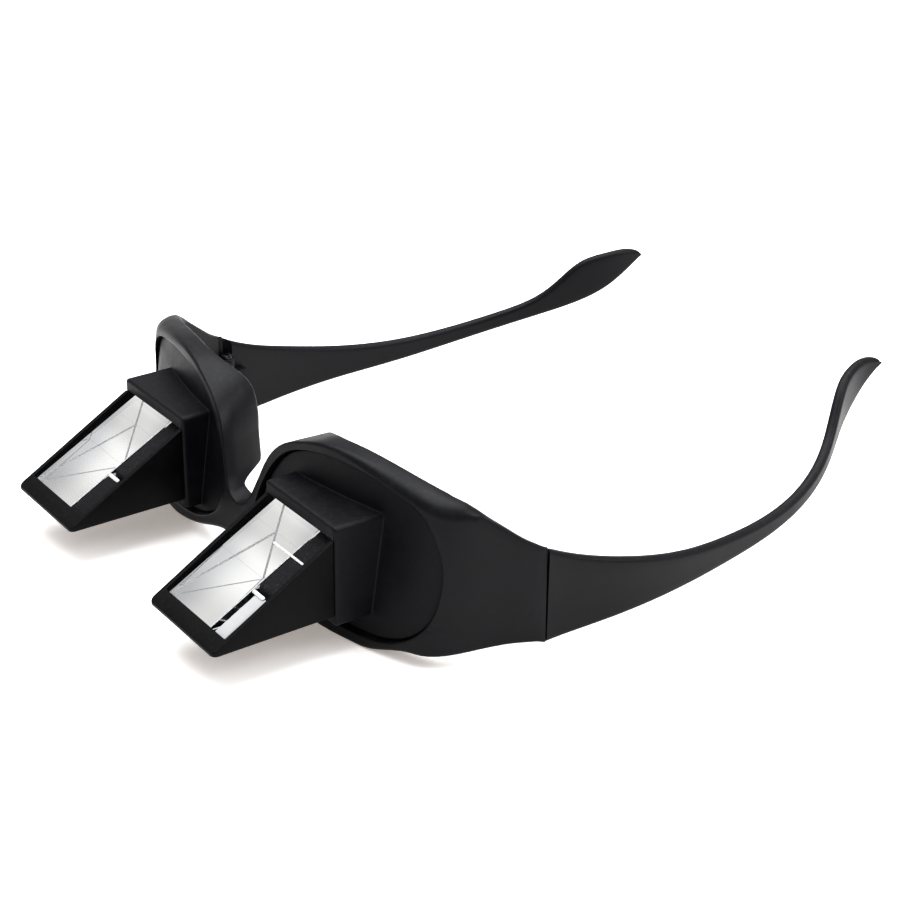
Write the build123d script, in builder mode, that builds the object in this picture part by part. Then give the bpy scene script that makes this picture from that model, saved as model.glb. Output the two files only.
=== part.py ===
from build123d import *
import os
from math import hypot, radians, tan

# Prism bed glasses, lying upside down as they do on a table: the nose notch opens upward.
# X runs across the face to the wearer's right, Y runs from the hoods to the tips of the temples.
# The origin is on the table, midway along the whole length.
os.makedirs("parts", exist_ok=True)

# overall sizes
temple_reach = 129.6
front_depth = 41.0
hood_reach = 31.1
box_spacing = 68.0

# boxes that stand out of the curved plates
box_width = 29.4
box_height = 24.9
box_roof_z = 32.6
box_wall = 1.1
box_tube_depth = 8.0
top_lip = 3.1
bottom_lip = 2.8
lip_thickness = 1.5
box_edge_round = 0.7

# hoods that plug into the boxes
hood_width = 28.7
hood_wall = 1.25
hood_floor = 1.2
hood_nose = 0.8
hood_rail = 3.8
hood_tip_round = 1.4
groove = 1.8
spigot_wall = 0.7
spigot_fit = 0.1

# glass prism, its mirror and what holds them
glass_tip_recess = 0.98
glass_lip_recess = 2.13
prism_back = 5.5
prism_width = 18.6
prism_fit = 0.1
mirror_thickness = 0.3
upper_spacer_gap = 0.15
lower_spacer_gap = 0.5
spacer_split = 15.1
spacer_split_gap = 1.2
dab_width = 1.0
dab_thickness = 0.35
long_dab_y = 7.0
long_dab_length = 13.2
short_dab_y = 16.3
short_dab_length = 5.6
dab_side_gap = 1.6
bezel_thickness = 1.8
bezel_border = 2.3
bezel_fit = 0.1

# wraparound front frame
front_radius = 191.0
bridge_setback = 0.75
lean_angle = 8.0
rim_depth = 5.6
bridge_depth = 5.5
frame_height = 43.7
plate_setback = 1.5
plate_thickness = 2.0
plate_fit = 0.15
seat_ledge = 1.4
flank_floor = 3.3
nose_pad_depth = 11.8
nose_room_depth = 16.0
nose_pad_thickness = 1.9
nose_pad_flare = 28.0
nose_pad_floor_z = 17.3
nose_pad_round = 5.0
pad_bend_z = 30.0

# temples and hinges
temple_thickness = 2.8
seam_gap = 0.24
hinge_x = 69.1
knuckle_radius = 2.1
knuckle_clearance = 0.3
knuckle_gap = 0.2
knuckle_web = 5.5
knuckle_arm = 1.2
lower_knuckle = (6.0, 10.0)
upper_knuckle = (16.8, 20.6)
screw_radius = 0.8
screw_fit = 0.06
screw_head_radius = 1.5
screw_head = 0.9
screw_slot = 0.4
overrun = 20.0

# places worked out from the sizes
overall_length = hood_reach + front_depth + temple_reach
face_y = -overall_length / 2 + hood_reach
seam_y = overall_length / 2 - temple_reach
bridge_y = face_y + bridge_setback
box_x = box_spacing / 2
lean = tan(radians(lean_angle))
lip_z = box_roof_z - top_lip
box_floor_z = box_roof_z - box_height
hood_floor_z = box_floor_z + bottom_lip


def front_at(x):
    """Where the frame's front surface lies at a distance from the middle, at table level."""
    return bridge_y + x * x / (2 * front_radius)


# Plan of the frame at table level: the front curve, the corner and the flank back to the hinge.
corner_start = 58.0
corner_plan = [(64.6, 12.2), (67.4, 17.3), (69.3, 25.3), (71.5, 33.5), (72.6, 39.0)]
flank_spare = 5.0
flank_end = (72.9, front_depth + flank_spare)
inner_plan = [(70.1, 39.0), (68.9, 33.5), (66.3, 26.6), (62.6, 18.8), (56.0, 15.0)]
rim_inner_x = 30.0
draft_height = frame_height + overrun


def front_curve(gap):
    """The outer plan curve from the middle to the flank's end, moved back by a gap."""
    corner = (corner_start, front_at(corner_start) + gap)
    half_way = (corner_start / 2, front_at(corner_start / 2) + gap)
    front = ThreePointArc((0, bridge_y + gap), half_way, corner)
    wrap = Spline(
        corner,
        *[(x, bridge_y + gap + y) for x, y in corner_plan],
        (flank_end[0], bridge_y + gap + flank_end[1]),
        tangents=(front % 1, (0, 1)),
    )
    return front @ 0, wrap @ 1


def leaning(outline):
    """An outline on the table drawn upward along the frame's lean."""
    with BuildPart() as body:
        with BuildSketch(Plane.XY.offset(-overrun)):
            add(outline)
            make_face()
        extrude(amount=(draft_height + overrun) * hypot(1, lean), dir=(0, lean, 1))
    return body.part.moved(Location((0, -lean * overrun, 0)))


# The whole wall of the right half, from the front surface to the inside of the rim and flank.
with BuildLine() as wall_outline:
    front_start, wall_end = front_curve(0)
    inner_end = (flank_end[0] - temple_thickness, bridge_y + flank_end[1])
    Line(wall_end, inner_end)
    back = Spline(
        inner_end,
        *[(x, bridge_y + y) for x, y in inner_plan],
        (rim_inner_x, front_at(rim_inner_x) + rim_depth),
        (0, bridge_y + bridge_depth),
        tangents=((0, -1), (-1, 0)),
    )
    Line(back @ 1, front_start)


def sheet(front_gap, back_gap):
    """The curved sheet between two distances behind the front surface."""
    with BuildLine() as outline:
        near_start, near_end = front_curve(front_gap)
        far_start, far_end = front_curve(back_gap)
        Line(near_start, far_start)
        Line(near_end, far_end)
    return leaning(outline.line)


def ahead_of(back_gap):
    """All that lies in front of a surface at a distance behind the front surface."""
    with BuildLine() as outline:
        far_start, far_end = front_curve(back_gap)
        Polyline(far_end, (flank_end[0], -overall_length), (0, -overall_length), far_start)
    return leaning(outline.line)


# Front view of the right half.
# The notch and the top up to its peak are cut out later, as the room for the nose.
notch_floor_z = 17.4
top_line = [
    (1.6, 17.7), (3.3, 18.5), (6.1, 22.6), (8.3, 27.6), (10.7, 32.8), (15.2, 37.8), (23.0, 41.4), (29.0, 43.1),
]
top_peak_x = 34.5
top_tail = [(44.2, 43.0), (53.5, 41.4)]
flank_top = (68.5, 38.4)
flank_top_slope = (1, -0.2)
flank_x = 67.5
flank_limit_x = 80.0
rest_from_x = 37.0
rest_to_x = 50.0
brow_lift_x = 60.0
brow_line = [(27.0, 1.3), (16.0, 4.4), (5.0, 7.9)]
bridge_floor_z = 8.3

with BuildLine() as front_outline:
    top = Spline((top_peak_x, frame_height), *top_tail, flank_top, tangents=((1, 0), flank_top_slope))
    Polyline(
        top @ 1,
        (flank_limit_x, flank_top[1]),
        (flank_limit_x, 0),
        (flank_x, 0),
        (flank_x, flank_floor),
        (brow_lift_x, flank_floor),
    )
    Spline((brow_lift_x, flank_floor), (rest_to_x, 0), tangents=((-1, 0), (-1, 0)))
    Line((rest_to_x, 0), (rest_from_x, 0))
    Spline((rest_from_x, 0), *brow_line, (0, bridge_floor_z), tangents=((-1, 0), (-1, 0)))
    Polyline((0, bridge_floor_z), (0, frame_height), top @ 0)

# Side view of the flank, measured from the seam: what is taken off above and below it.
flank_top_line = [
    (-21.5, 43.6), (-18.0, 40.3), (-15.6, 38.0), (-12.0, 34.7), (-8.4, 31.7), (-4.7, 28.7), (0.0, 26.0),
]
flank_top_end = (6.0, 23.6)
flank_dip_from = 11.0
flank_dip_end = (4.0, 1.3)
flank_dip_slope = -0.15
flank_cut_x = 52.0
flank_cut_y = 23.4

# The plate's outline, which is also that of the frame's seat with its fit added.
plate_points = [
    (7.9, 19.5), (9.1, 24.0), (11.9, 30.1), (17.3, 36.4), (27.0, 40.1), (40.0, 40.8), (52.2, 38.9), (60.6, 35.1),
    (64.4, 28.0), (65.2, 18.5), (63.4, 10.2), (57.0, 4.7), (44.0, 2.9), (28.0, 4.2), (14.0, 8.2), (8.4, 13.2),
]


def plate_column(grow):
    """The right plate's outline, grown or shrunk, drawn through the whole front."""
    with BuildLine(mode=Mode.PRIVATE):
        edge = Spline(*plate_points, periodic=True, mode=Mode.PRIVATE)
    stations = 2 * len(plate_points)
    turned = [(edge @ (k / stations), edge % (k / stations)) for k in range(stations)]
    grown = [(at.X - along.Y * grow, at.Y + along.X * grow) for at, along in turned]
    with BuildPart() as body:
        with BuildSketch(Plane.XZ.offset(-seam_y)):
            with BuildLine():
                Spline(*grown, periodic=True)
            make_face()
        extrude(amount=seam_y - face_y + overrun)
    return body.part


# What the plate's outline holds: the seat for it, the opening behind it, and the plate itself.
with BuildPart() as plate_seat:
    add(plate_column(plate_fit))
    add(ahead_of(plate_setback + plate_thickness), mode=Mode.INTERSECT)

with BuildPart() as plate_opening:
    add(plate_column(-seat_ledge))
    add(ahead_of(overrun), mode=Mode.INTERSECT)

with BuildPart() as plate:
    add(plate_column(0))
    add(sheet(plate_setback, plate_setback + plate_thickness), mode=Mode.INTERSECT)


# Nose pads: a thin flange along the notch that flares outward as it goes back and dies out along the top.
nose_line = [(0, notch_floor_z), *top_line, (top_peak_x, frame_height)]
flare_shares = [0, 0.45, 1, 1, 1, 0.9, 0.55, 0.12, 0.02, 0]
flare = nose_room_depth * tan(radians(nose_pad_flare))
flared_line = [(x + flare * share, z) for (x, z), share in zip(nose_line, flare_shares)]
pad_back_y = bridge_y + plate_setback + nose_pad_depth


def leaning_plane(back_gap):
    """The leaning plane at a distance behind the bridge."""
    return Plane(origin=(0, bridge_y + back_gap, 0), x_dir=(1, 0, 0), z_dir=(0, -1, lean))


# The room for the nose: straight through the front edge, then wider and wider.
with BuildPart() as nose_room:
    for back_gap, line in (
        (-overrun, nose_line),
        (plate_setback, nose_line),
        (plate_setback + nose_room_depth, flared_line),
    ):
        with BuildSketch(leaning_plane(back_gap)):
            with BuildLine():
                side = Spline(*line)
                Polyline(side @ 1, (top_peak_x, draft_height), (0, draft_height), side @ 0)
            make_face()
    loft(ruled=True)

# The flange along the same line, trimmed to its side view. The nose room gives it its inner face.
with BuildPart() as nose_pad:
    for back_gap, line in ((plate_setback, nose_line[2:]), (plate_setback + nose_room_depth, flared_line[2:])):
        with BuildSketch(leaning_plane(back_gap)):
            with BuildLine():
                inner = Spline(*[(x - nose_pad_thickness, z + nose_pad_thickness / 2) for x, z in line])
                outer = Spline(*[(x + nose_pad_thickness, z - nose_pad_thickness / 2) for x, z in line])
                Line(inner @ 0, outer @ 0)
                Line(inner @ 1, outer @ 1)
            make_face()
    loft(ruled=True)
    with BuildSketch(Plane.YZ):
        with BuildLine():
            low = Line((bridge_y, nose_pad_floor_z), (pad_back_y + lean * nose_pad_floor_z, nose_pad_floor_z))
            back = Line(low @ 1, (pad_back_y + lean * pad_bend_z, pad_bend_z))
            rim_top = (bridge_y + rim_depth + lean * frame_height, frame_height)
            over = Spline(back @ 1, rim_top, tangents=(back % 1, (-1, lean)))
            Polyline(over @ 1, (over @ 1 + (0, overrun)), (bridge_y, frame_height + overrun), low @ 0)
        make_face()
        fillet(vertices().group_by(Axis.Y)[0].sort_by(Axis.X)[-1], nose_pad_round)
    extrude(amount=top_peak_x, mode=Mode.INTERSECT)
    add(plate_seat.part, mode=Mode.SUBTRACT)
    add(ahead_of(plate_setback), mode=Mode.SUBTRACT)


# The front frame: wall, outline and flank cuts together, then the seats for the plates.
with BuildPart() as half_frame:
    add(leaning(wall_outline.line))
    with BuildSketch(Plane.XZ.offset(-seam_y - overrun)):
        add(front_outline.line)
        make_face()
    extrude(amount=overall_length, mode=Mode.INTERSECT)
    with BuildSketch(Plane.YZ.offset(flank_cut_x)):
        with BuildLine():
            over = Spline(*[(seam_y + y, z) for y, z in flank_top_line], (seam_y + flank_top_end[0], flank_top_end[1]))
            Polyline(
                over @ 1,
                (seam_y + flank_top_end[0], draft_height + overrun),
                (seam_y + flank_top_line[0][0], draft_height + overrun),
                over @ 0,
            )
        make_face()
    extrude(amount=flank_limit_x - flank_cut_x, mode=Mode.SUBTRACT)
    with BuildSketch(Plane.YZ.offset(brow_lift_x)):
        with BuildLine():
            under = Spline(
                (seam_y - flank_dip_from, flank_floor),
                (seam_y + flank_dip_end[0], flank_dip_end[1]),
                tangents=((1, 0), (1, flank_dip_slope)),
            )
            Polyline(
                under @ 1,
                (seam_y + flank_dip_end[0], -overrun),
                (seam_y - flank_cut_y, -overrun),
                (seam_y - flank_cut_y, flank_floor),
                under @ 0,
            )
        make_face()
    extrude(amount=flank_limit_x - brow_lift_x, mode=Mode.SUBTRACT)
    with BuildSketch(Plane.XZ.offset(-seam_y + seam_gap / 2)):
        Rectangle(2 * flank_limit_x, 2 * draft_height)
    extrude(amount=-overrun, mode=Mode.SUBTRACT)
    add(plate_seat.part, mode=Mode.SUBTRACT)
    add(plate_opening.part, mode=Mode.SUBTRACT)
    add(nose_pad.part)
    add(nose_room.part, mode=Mode.SUBTRACT)

    with BuildSketch(Plane.XY.offset(lower_knuckle[0])):
        with Locations((hinge_x, seam_y)):
            Circle(knuckle_radius)
        with Locations((hinge_x + knuckle_radius, seam_y)):
            Rectangle(knuckle_radius + knuckle_arm, knuckle_web, align=(Align.MAX, Align.MAX))
    extrude(amount=upper_knuckle[1] - lower_knuckle[0])
    with BuildSketch(Plane.XY.offset(lower_knuckle[1])):
        with Locations((hinge_x, seam_y)):
            Circle(knuckle_radius + knuckle_clearance)
    extrude(amount=upper_knuckle[0] - lower_knuckle[1], mode=Mode.SUBTRACT)
    with BuildSketch(Plane.XY.offset(upper_knuckle[1])):
        with Locations((hinge_x, seam_y)):
            Circle(knuckle_radius + knuckle_clearance)
    extrude(amount=draft_height, mode=Mode.SUBTRACT)
    with BuildSketch(Plane.XY.offset(lower_knuckle[0])):
        with Locations((hinge_x, seam_y)):
            Circle(screw_radius)
    extrude(amount=upper_knuckle[1] - lower_knuckle[0], mode=Mode.SUBTRACT)
    with BuildSketch(Plane.XY.offset(upper_knuckle[0])):
        with Locations((hinge_x, seam_y)):
            Circle(screw_radius + screw_fit)
    extrude(amount=upper_knuckle[1] - upper_knuckle[0], mode=Mode.SUBTRACT)

with BuildPart() as front_frame:
    add(half_frame.part)
    mirror(about=Plane.YZ)

# Housings: each is a curved plate with the box that stands out of it.
cavity_width = box_width - 2 * box_wall
with BuildPart() as right_housing:
    with BuildSketch(Plane.XZ.offset(-face_y)):
        with Locations((box_x, box_roof_z)):
            Rectangle(box_width, box_height, align=(Align.CENTER, Align.MAX))
        fillet(vertices(), box_edge_round)
    extrude(amount=-box_height)
    add(ahead_of(plate_setback + plate_thickness), mode=Mode.INTERSECT)
    fillet(faces().sort_by(Axis.Y)[0].edges(), box_edge_round)
    with BuildSketch(Plane.XZ.offset(-face_y - lip_thickness)):
        with Locations((box_x, box_roof_z)):
            Rectangle(box_width, box_height, align=(Align.CENTER, Align.MAX))
        fillet(vertices(), box_edge_round)
    extrude(amount=lip_thickness - box_tube_depth)
    add(plate.part)
    with BuildSketch(Plane.XZ.offset(-face_y - lip_thickness)):
        with Locations((box_x, hood_floor_z)):
            Rectangle(cavity_width, box_roof_z - box_wall - hood_floor_z, align=(Align.CENTER, Align.MIN))
    extrude(amount=-box_height, mode=Mode.SUBTRACT)
    with BuildSketch(Plane.XZ.offset(-face_y)):
        with Locations((box_x, hood_floor_z)):
            Rectangle(cavity_width, lip_z - hood_floor_z, align=(Align.CENTER, Align.MIN))
    extrude(amount=-box_tube_depth, mode=Mode.SUBTRACT)

with BuildPart() as left_housing:
    mirror(right_housing.part, about=Plane.YZ)

# Hoods: the wedge in front of the box, open along its slope, with a spigot that enters the box.
tip_y = face_y - hood_reach
tip_z = hood_floor_z + hood_nose
window_rise = (lip_z - tip_z) / hood_reach
rail_y = tip_y + hood_rail
shoulder_y = face_y - groove
shoulder_z = lip_z - groove * window_rise
spigot_width = cavity_width - 2 * spigot_fit
spigot_end_y = face_y + prism_back
hood_bed_z = hood_floor_z + hood_floor
bay_width = hood_width - 2 * hood_wall
spigot_bay_width = spigot_width - 2 * spigot_wall

with BuildPart() as right_hood:
    with BuildSketch(Plane.YZ.offset(box_x)):
        with BuildLine():
            Polyline(
                (shoulder_y, hood_floor_z),
                (tip_y, hood_floor_z),
                (tip_y, tip_z),
                (shoulder_y, shoulder_z),
                close=True,
            )
        make_face()
    extrude(amount=hood_width / 2, both=True)
    fillet(edges().filter_by(Axis.Z).sort_by(Axis.Y)[:2], hood_tip_round)
    with BuildSketch(Plane.YZ.offset(box_x)):
        with BuildLine():
            Polyline(
                (shoulder_y, hood_floor_z),
                (shoulder_y, shoulder_z),
                (face_y, lip_z - spigot_fit),
                (spigot_end_y, lip_z - spigot_fit),
                (spigot_end_y, hood_floor_z),
                close=True,
            )
        make_face()
    extrude(amount=spigot_width / 2, both=True)
    with BuildSketch(Plane.XY.offset(hood_bed_z)):
        with Locations((box_x, rail_y)):
            Rectangle(bay_width, shoulder_y - rail_y, align=(Align.CENTER, Align.MIN))
            Rectangle(spigot_bay_width, spigot_end_y - rail_y, align=(Align.CENTER, Align.MIN))
    extrude(amount=box_height, mode=Mode.SUBTRACT)

# Prisms: a long wedge of glass. Its sloping face looks out, its upright face looks in, its floor is silvered.
prism_x = box_x - spigot_bay_width / 2 + prism_fit
prism_tip_y = rail_y + prism_fit
prism_floor_z = hood_bed_z + mirror_thickness
glass_tip_z = tip_z + (prism_tip_y - tip_y) * window_rise - glass_tip_recess
glass_rise = (lip_z - glass_lip_recess - glass_tip_z) / (face_y - prism_tip_y)


def glass_z(y):
    """The height of the sloping glass face."""
    return glass_tip_z + (y - prism_tip_y) * glass_rise


def wedge(x_from, x_to, y_from, y_to, floor_z):
    """A block under the slope of the glass between two distances along the hood."""
    with BuildPart() as body:
        with BuildSketch(Plane.YZ.offset(x_from)):
            with BuildLine():
                Polyline(
                    (y_from, floor_z),
                    (y_from, glass_z(y_from)),
                    (y_to, glass_z(y_to)),
                    (y_to, floor_z),
                    close=True,
                )
            make_face()
        extrude(amount=x_to - x_from)
    return body.part


prism_end_x = prism_x + prism_width
with BuildPart() as right_prism:
    add(wedge(prism_x, prism_end_x, prism_tip_y, spigot_end_y, prism_floor_z))

with BuildPart() as right_mirror:
    with BuildSketch(Plane.XY.offset(hood_bed_z)):
        with Locations((prism_x, prism_tip_y)):
            Rectangle(prism_width, spigot_end_y - prism_tip_y, align=(Align.MIN, Align.MIN))
    extrude(amount=mirror_thickness)

# Spacers: the narrow blocks that fill the hood beside the glass, one speckled and one pale.
spacer_end_x = box_x + spigot_bay_width / 2 - prism_fit
split_y = face_y - spacer_split
with BuildPart() as right_upper_spacer:
    add(wedge(prism_end_x + upper_spacer_gap, spacer_end_x, split_y + spacer_split_gap / 2, spigot_end_y, hood_bed_z))

with BuildPart() as right_lower_spacer:
    add(wedge(prism_end_x + lower_spacer_gap, spacer_end_x, prism_tip_y, split_y - spacer_split_gap / 2, hood_bed_z))

# Glue dabs: pale strips across the slope that tie the glass to the spacers.
def glue_dab(dab_y, dab_length):
    """A thin strip across the slope at a distance in front of the box."""
    low_y = face_y - dab_y - dab_width / 2
    high_y = face_y - dab_y + dab_width / 2
    with BuildPart() as body:
        with BuildSketch(Plane.YZ.offset(spacer_end_x - dab_side_gap)):
            with BuildLine():
                Polyline(
                    (low_y, glass_z(low_y)),
                    (low_y, glass_z(low_y) + dab_thickness),
                    (high_y, glass_z(high_y) + dab_thickness),
                    (high_y, glass_z(high_y)),
                    close=True,
                )
            make_face()
        extrude(amount=-dab_length)
    return body.part


with BuildPart() as right_glue_dabs:
    add(glue_dab(long_dab_y, long_dab_length))
    add(glue_dab(short_dab_y, short_dab_length))

with BuildPart() as left_glue_dab:
    add(glue_dab(short_dab_y, short_dab_length))

# Bezels: the frames that close the boxes on the eye side and hold the glass in.
with BuildPart() as right_bezel:
    with BuildSketch(Plane.XZ.offset(-spigot_end_y - bezel_fit)):
        with Locations((box_x, (hood_floor_z + box_roof_z - box_wall) / 2)):
            Rectangle(cavity_width - 2 * bezel_fit, box_roof_z - box_wall - hood_floor_z - 2 * bezel_fit)
            offset(amount=-bezel_border, mode=Mode.SUBTRACT)
    extrude(amount=-bezel_thickness)

# The left unit is the same as the right one, not its mirror image, but has no long dab.
unit_pieces = {
    "hood": right_hood,
    "prism": right_prism,
    "mirror": right_mirror,
    "upper_spacer": right_upper_spacer,
    "lower_spacer": right_lower_spacer,
    "bezel": right_bezel,
}

# Temples: a strip that follows the plan curve, cut to the side view, with its hinge knuckle.
# The places along both lines are shares of the temple's reach behind the seam.
temple_plan_shares = [-0.046, 0, 0.147, 0.278, 0.44, 0.579, 0.694, 0.779, 0.864, 0.941, 1.026]
temple_plan_x = [71.2, 71.3, 73.0, 73.4, 71.6, 69.2, 64.9, 59.4, 52.6, 48.8, 48.2]
temple_top_shares = [
    -0.031, 0.031, 0.093, 0.162, 0.293, 0.44, 0.579, 0.694, 0.779, 0.818, 0.864, 0.918, 0.972, 1,
]
temple_top_z = [28.0, 23.7, 20.4, 17.6, 13.5, 11.4, 12.0, 14.9, 19.8, 24.8, 30.6, 32.6, 32.6, 30.8]
temple_foot_shares = [0.977, 0.918, 0.841, 0.756, 0.664, 0.486, 0.27, 0.116, -0.031]
temple_foot_z = [27.8, 22.3, 17.0, 12.6, 9.2, 5.5, 3.6, 2.4, 1.4]
temple_side_line = [
    (seam_y + share * temple_reach, z)
    for share, z in zip(temple_top_shares + temple_foot_shares, temple_top_z + temple_foot_z)
]
knuckle_z = lower_knuckle[1] + knuckle_gap
with BuildPart() as right_temple:
    with BuildSketch():
        with BuildLine():
            Spline(*[(x, seam_y + share * temple_reach) for x, share in zip(temple_plan_x, temple_plan_shares)])
        trace(line_width=temple_thickness)
    extrude(amount=draft_height)
    with BuildSketch(Plane.YZ):
        with BuildLine():
            side = Spline(*temple_side_line)
            Line(side @ 1, side @ 0)
        make_face()
    extrude(amount=flank_limit_x, mode=Mode.INTERSECT)
    with BuildSketch(Plane.XZ.offset(-seam_y - seam_gap / 2)):
        Rectangle(2 * flank_limit_x, 2 * draft_height)
    extrude(amount=overrun, mode=Mode.SUBTRACT)
    with BuildSketch(Plane.XY.offset(knuckle_z)):
        with Locations((hinge_x, seam_y)):
            Circle(knuckle_radius)
        with Locations((hinge_x + knuckle_radius, seam_y)):
            Rectangle(knuckle_radius + knuckle_arm, knuckle_web, align=(Align.MAX, Align.MIN))
    extrude(amount=upper_knuckle[0] - knuckle_gap - knuckle_z)
    for low, high in (lower_knuckle, (upper_knuckle[0], draft_height)):
        with BuildSketch(Plane.XY.offset(low - knuckle_gap)):
            with Locations((hinge_x, seam_y)):
                Circle(knuckle_radius + knuckle_clearance)
        extrude(amount=high - low + 2 * knuckle_gap, mode=Mode.SUBTRACT)
    with BuildSketch(Plane.XY.offset(knuckle_z)):
        with Locations((hinge_x, seam_y)):
            Circle(screw_radius + screw_fit)
    extrude(amount=upper_knuckle[0] - knuckle_gap - knuckle_z, mode=Mode.SUBTRACT)

with BuildPart() as left_temple:
    mirror(right_temple.part, about=Plane.YZ)

# Hinge screws: a slotted head above the upper knuckle and a shank down through all three.
with BuildPart() as right_hinge_screw:
    with BuildSketch(Plane.XY.offset(lower_knuckle[0])):
        with Locations((hinge_x, seam_y)):
            Circle(screw_radius)
    extrude(amount=upper_knuckle[1] - lower_knuckle[0])
    with BuildSketch(Plane.XY.offset(upper_knuckle[1])):
        with Locations((hinge_x, seam_y)):
            Circle(screw_head_radius)
    extrude(amount=screw_head)
    with BuildSketch(Plane.XY.offset(upper_knuckle[1] + screw_head)):
        with Locations((hinge_x, seam_y)):
            Rectangle(2 * screw_head_radius + screw_slot, screw_slot)
    extrude(amount=-screw_slot, mode=Mode.SUBTRACT)

with BuildPart() as left_hinge_screw:
    mirror(right_hinge_screw.part, about=Plane.YZ)

pieces = {
    "front_frame": front_frame.part,
    "right_housing": right_housing.part,
    "left_housing": left_housing.part,
    "right_temple": right_temple.part,
    "left_temple": left_temple.part,
    "right_hinge_screw": right_hinge_screw.part,
    "left_hinge_screw": left_hinge_screw.part,
    "right_glue_dabs": right_glue_dabs.part,
    "left_glue_dab": left_glue_dab.part.moved(Location((-box_spacing, 0, 0))),
}
for name, piece in unit_pieces.items():
    pieces["right_" + name] = piece.part
    pieces["left_" + name] = piece.part.moved(Location((-box_spacing, 0, 0)))
for name, piece in pieces.items():
    piece.label = name
    export_step(piece, f"parts/{name}.step")
    print(name, len(piece.solids()), round(piece.volume, 1), piece.is_valid)
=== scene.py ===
# %% [markdown]
# # Prism bed glasses
# Glasses for reading flat on one's back. A glass wedge with a silvered floor sits in a sloping hood before
# each eye and turns the view down to the feet. In the photograph they lie upside down on a white table:
# the brow edge is on the table and the nose notch opens upward.
#
# The measured solids are loaded first and stay where they are. The pieces made below are their finished skins.

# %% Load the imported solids
from math import cos, pi, radians, sin, sqrt, tan

import bmesh
import bpy
import numpy as np
from mathutils import Matrix, Vector, noise


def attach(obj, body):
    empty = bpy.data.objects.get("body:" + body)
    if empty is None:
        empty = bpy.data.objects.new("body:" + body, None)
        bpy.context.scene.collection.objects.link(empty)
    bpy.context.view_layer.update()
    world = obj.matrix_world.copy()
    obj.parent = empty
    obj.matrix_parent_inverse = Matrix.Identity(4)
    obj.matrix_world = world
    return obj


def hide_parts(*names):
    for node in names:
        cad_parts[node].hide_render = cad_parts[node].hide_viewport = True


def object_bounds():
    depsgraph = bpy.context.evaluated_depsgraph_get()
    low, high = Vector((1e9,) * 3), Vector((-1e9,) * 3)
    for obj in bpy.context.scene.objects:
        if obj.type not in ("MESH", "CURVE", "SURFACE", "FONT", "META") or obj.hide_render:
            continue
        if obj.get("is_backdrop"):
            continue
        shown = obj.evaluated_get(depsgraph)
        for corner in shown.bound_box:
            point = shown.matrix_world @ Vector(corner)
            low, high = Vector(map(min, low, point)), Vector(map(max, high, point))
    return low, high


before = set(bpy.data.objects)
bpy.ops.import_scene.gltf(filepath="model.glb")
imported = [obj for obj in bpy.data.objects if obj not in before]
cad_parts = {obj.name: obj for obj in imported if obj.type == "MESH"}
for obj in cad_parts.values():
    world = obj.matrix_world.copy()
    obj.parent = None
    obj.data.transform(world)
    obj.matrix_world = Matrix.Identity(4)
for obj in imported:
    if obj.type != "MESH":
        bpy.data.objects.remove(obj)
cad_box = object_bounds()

# %% [markdown]
# ## Sizes
# All sizes are millimetres, as a frame maker would note them, and become metres only when a mesh is made.
# They repeat the sizes of the solids, so that each skin lies on its solid.

# %% Main sizes in millimetres
MM = 0.001
overall_length = 201.7
temple_reach = 129.6
hood_reach = 31.1
box_spacing = 68.0
face_y = -overall_length / 2 + hood_reach
seam_y = overall_length / 2 - temple_reach
bridge_y = face_y + 0.75
lean = tan(radians(8.0))
front_radius = 191.0
box_x = box_spacing / 2
print("face of the boxes at y", round(face_y, 2), "- hinge seam at y", round(seam_y, 2))

# %% [markdown]
# ## Camera
# The camera was found from the photograph's own straight edges: both boxes and hoods are square, so their
# edges give the direction and the distance. The numbers below are the result of that fit. It is set up first.

# %% Camera
def add_object(name, data):
    """A new object in the scene."""
    obj = bpy.data.objects.new(name, data)
    bpy.context.scene.collection.objects.link(obj)
    return obj


camera_data = bpy.data.cameras.new("photo_camera")
camera_data.lens, camera_data.sensor_width, camera_data.sensor_fit = 80.0, 36.0, "HORIZONTAL"
camera_data.clip_start, camera_data.clip_end = 0.01, 60.0
camera = add_object("photo_camera", camera_data)
turn, rise, roll = 0.93718, 0.45871, 0.01637
camera_place = Vector((0.371526, -0.276155, 0.241307))
away = Vector((sin(turn) * cos(rise), -cos(turn) * cos(rise), sin(rise)))
level = Vector((cos(turn), sin(turn), 0.0))
upward = away.cross(level)
side_axis = cos(roll) * level + sin(roll) * upward
up_axis = -sin(roll) * level + cos(roll) * upward
camera.matrix_world = Matrix.Translation(camera_place) @ Matrix((side_axis, up_axis, away)).transposed().to_4x4()
bpy.context.scene.camera = camera
print("camera at", [round(v, 3) for v in camera.matrix_world.translation])

# %% [markdown]
# ## Smooth curves
# Moulded glasses are drawn with a few points and a smooth curve through them. This is the same kind of curve
# that the solids use: a cubic through all its points, either open, with its end directions given, or closed.

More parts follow.
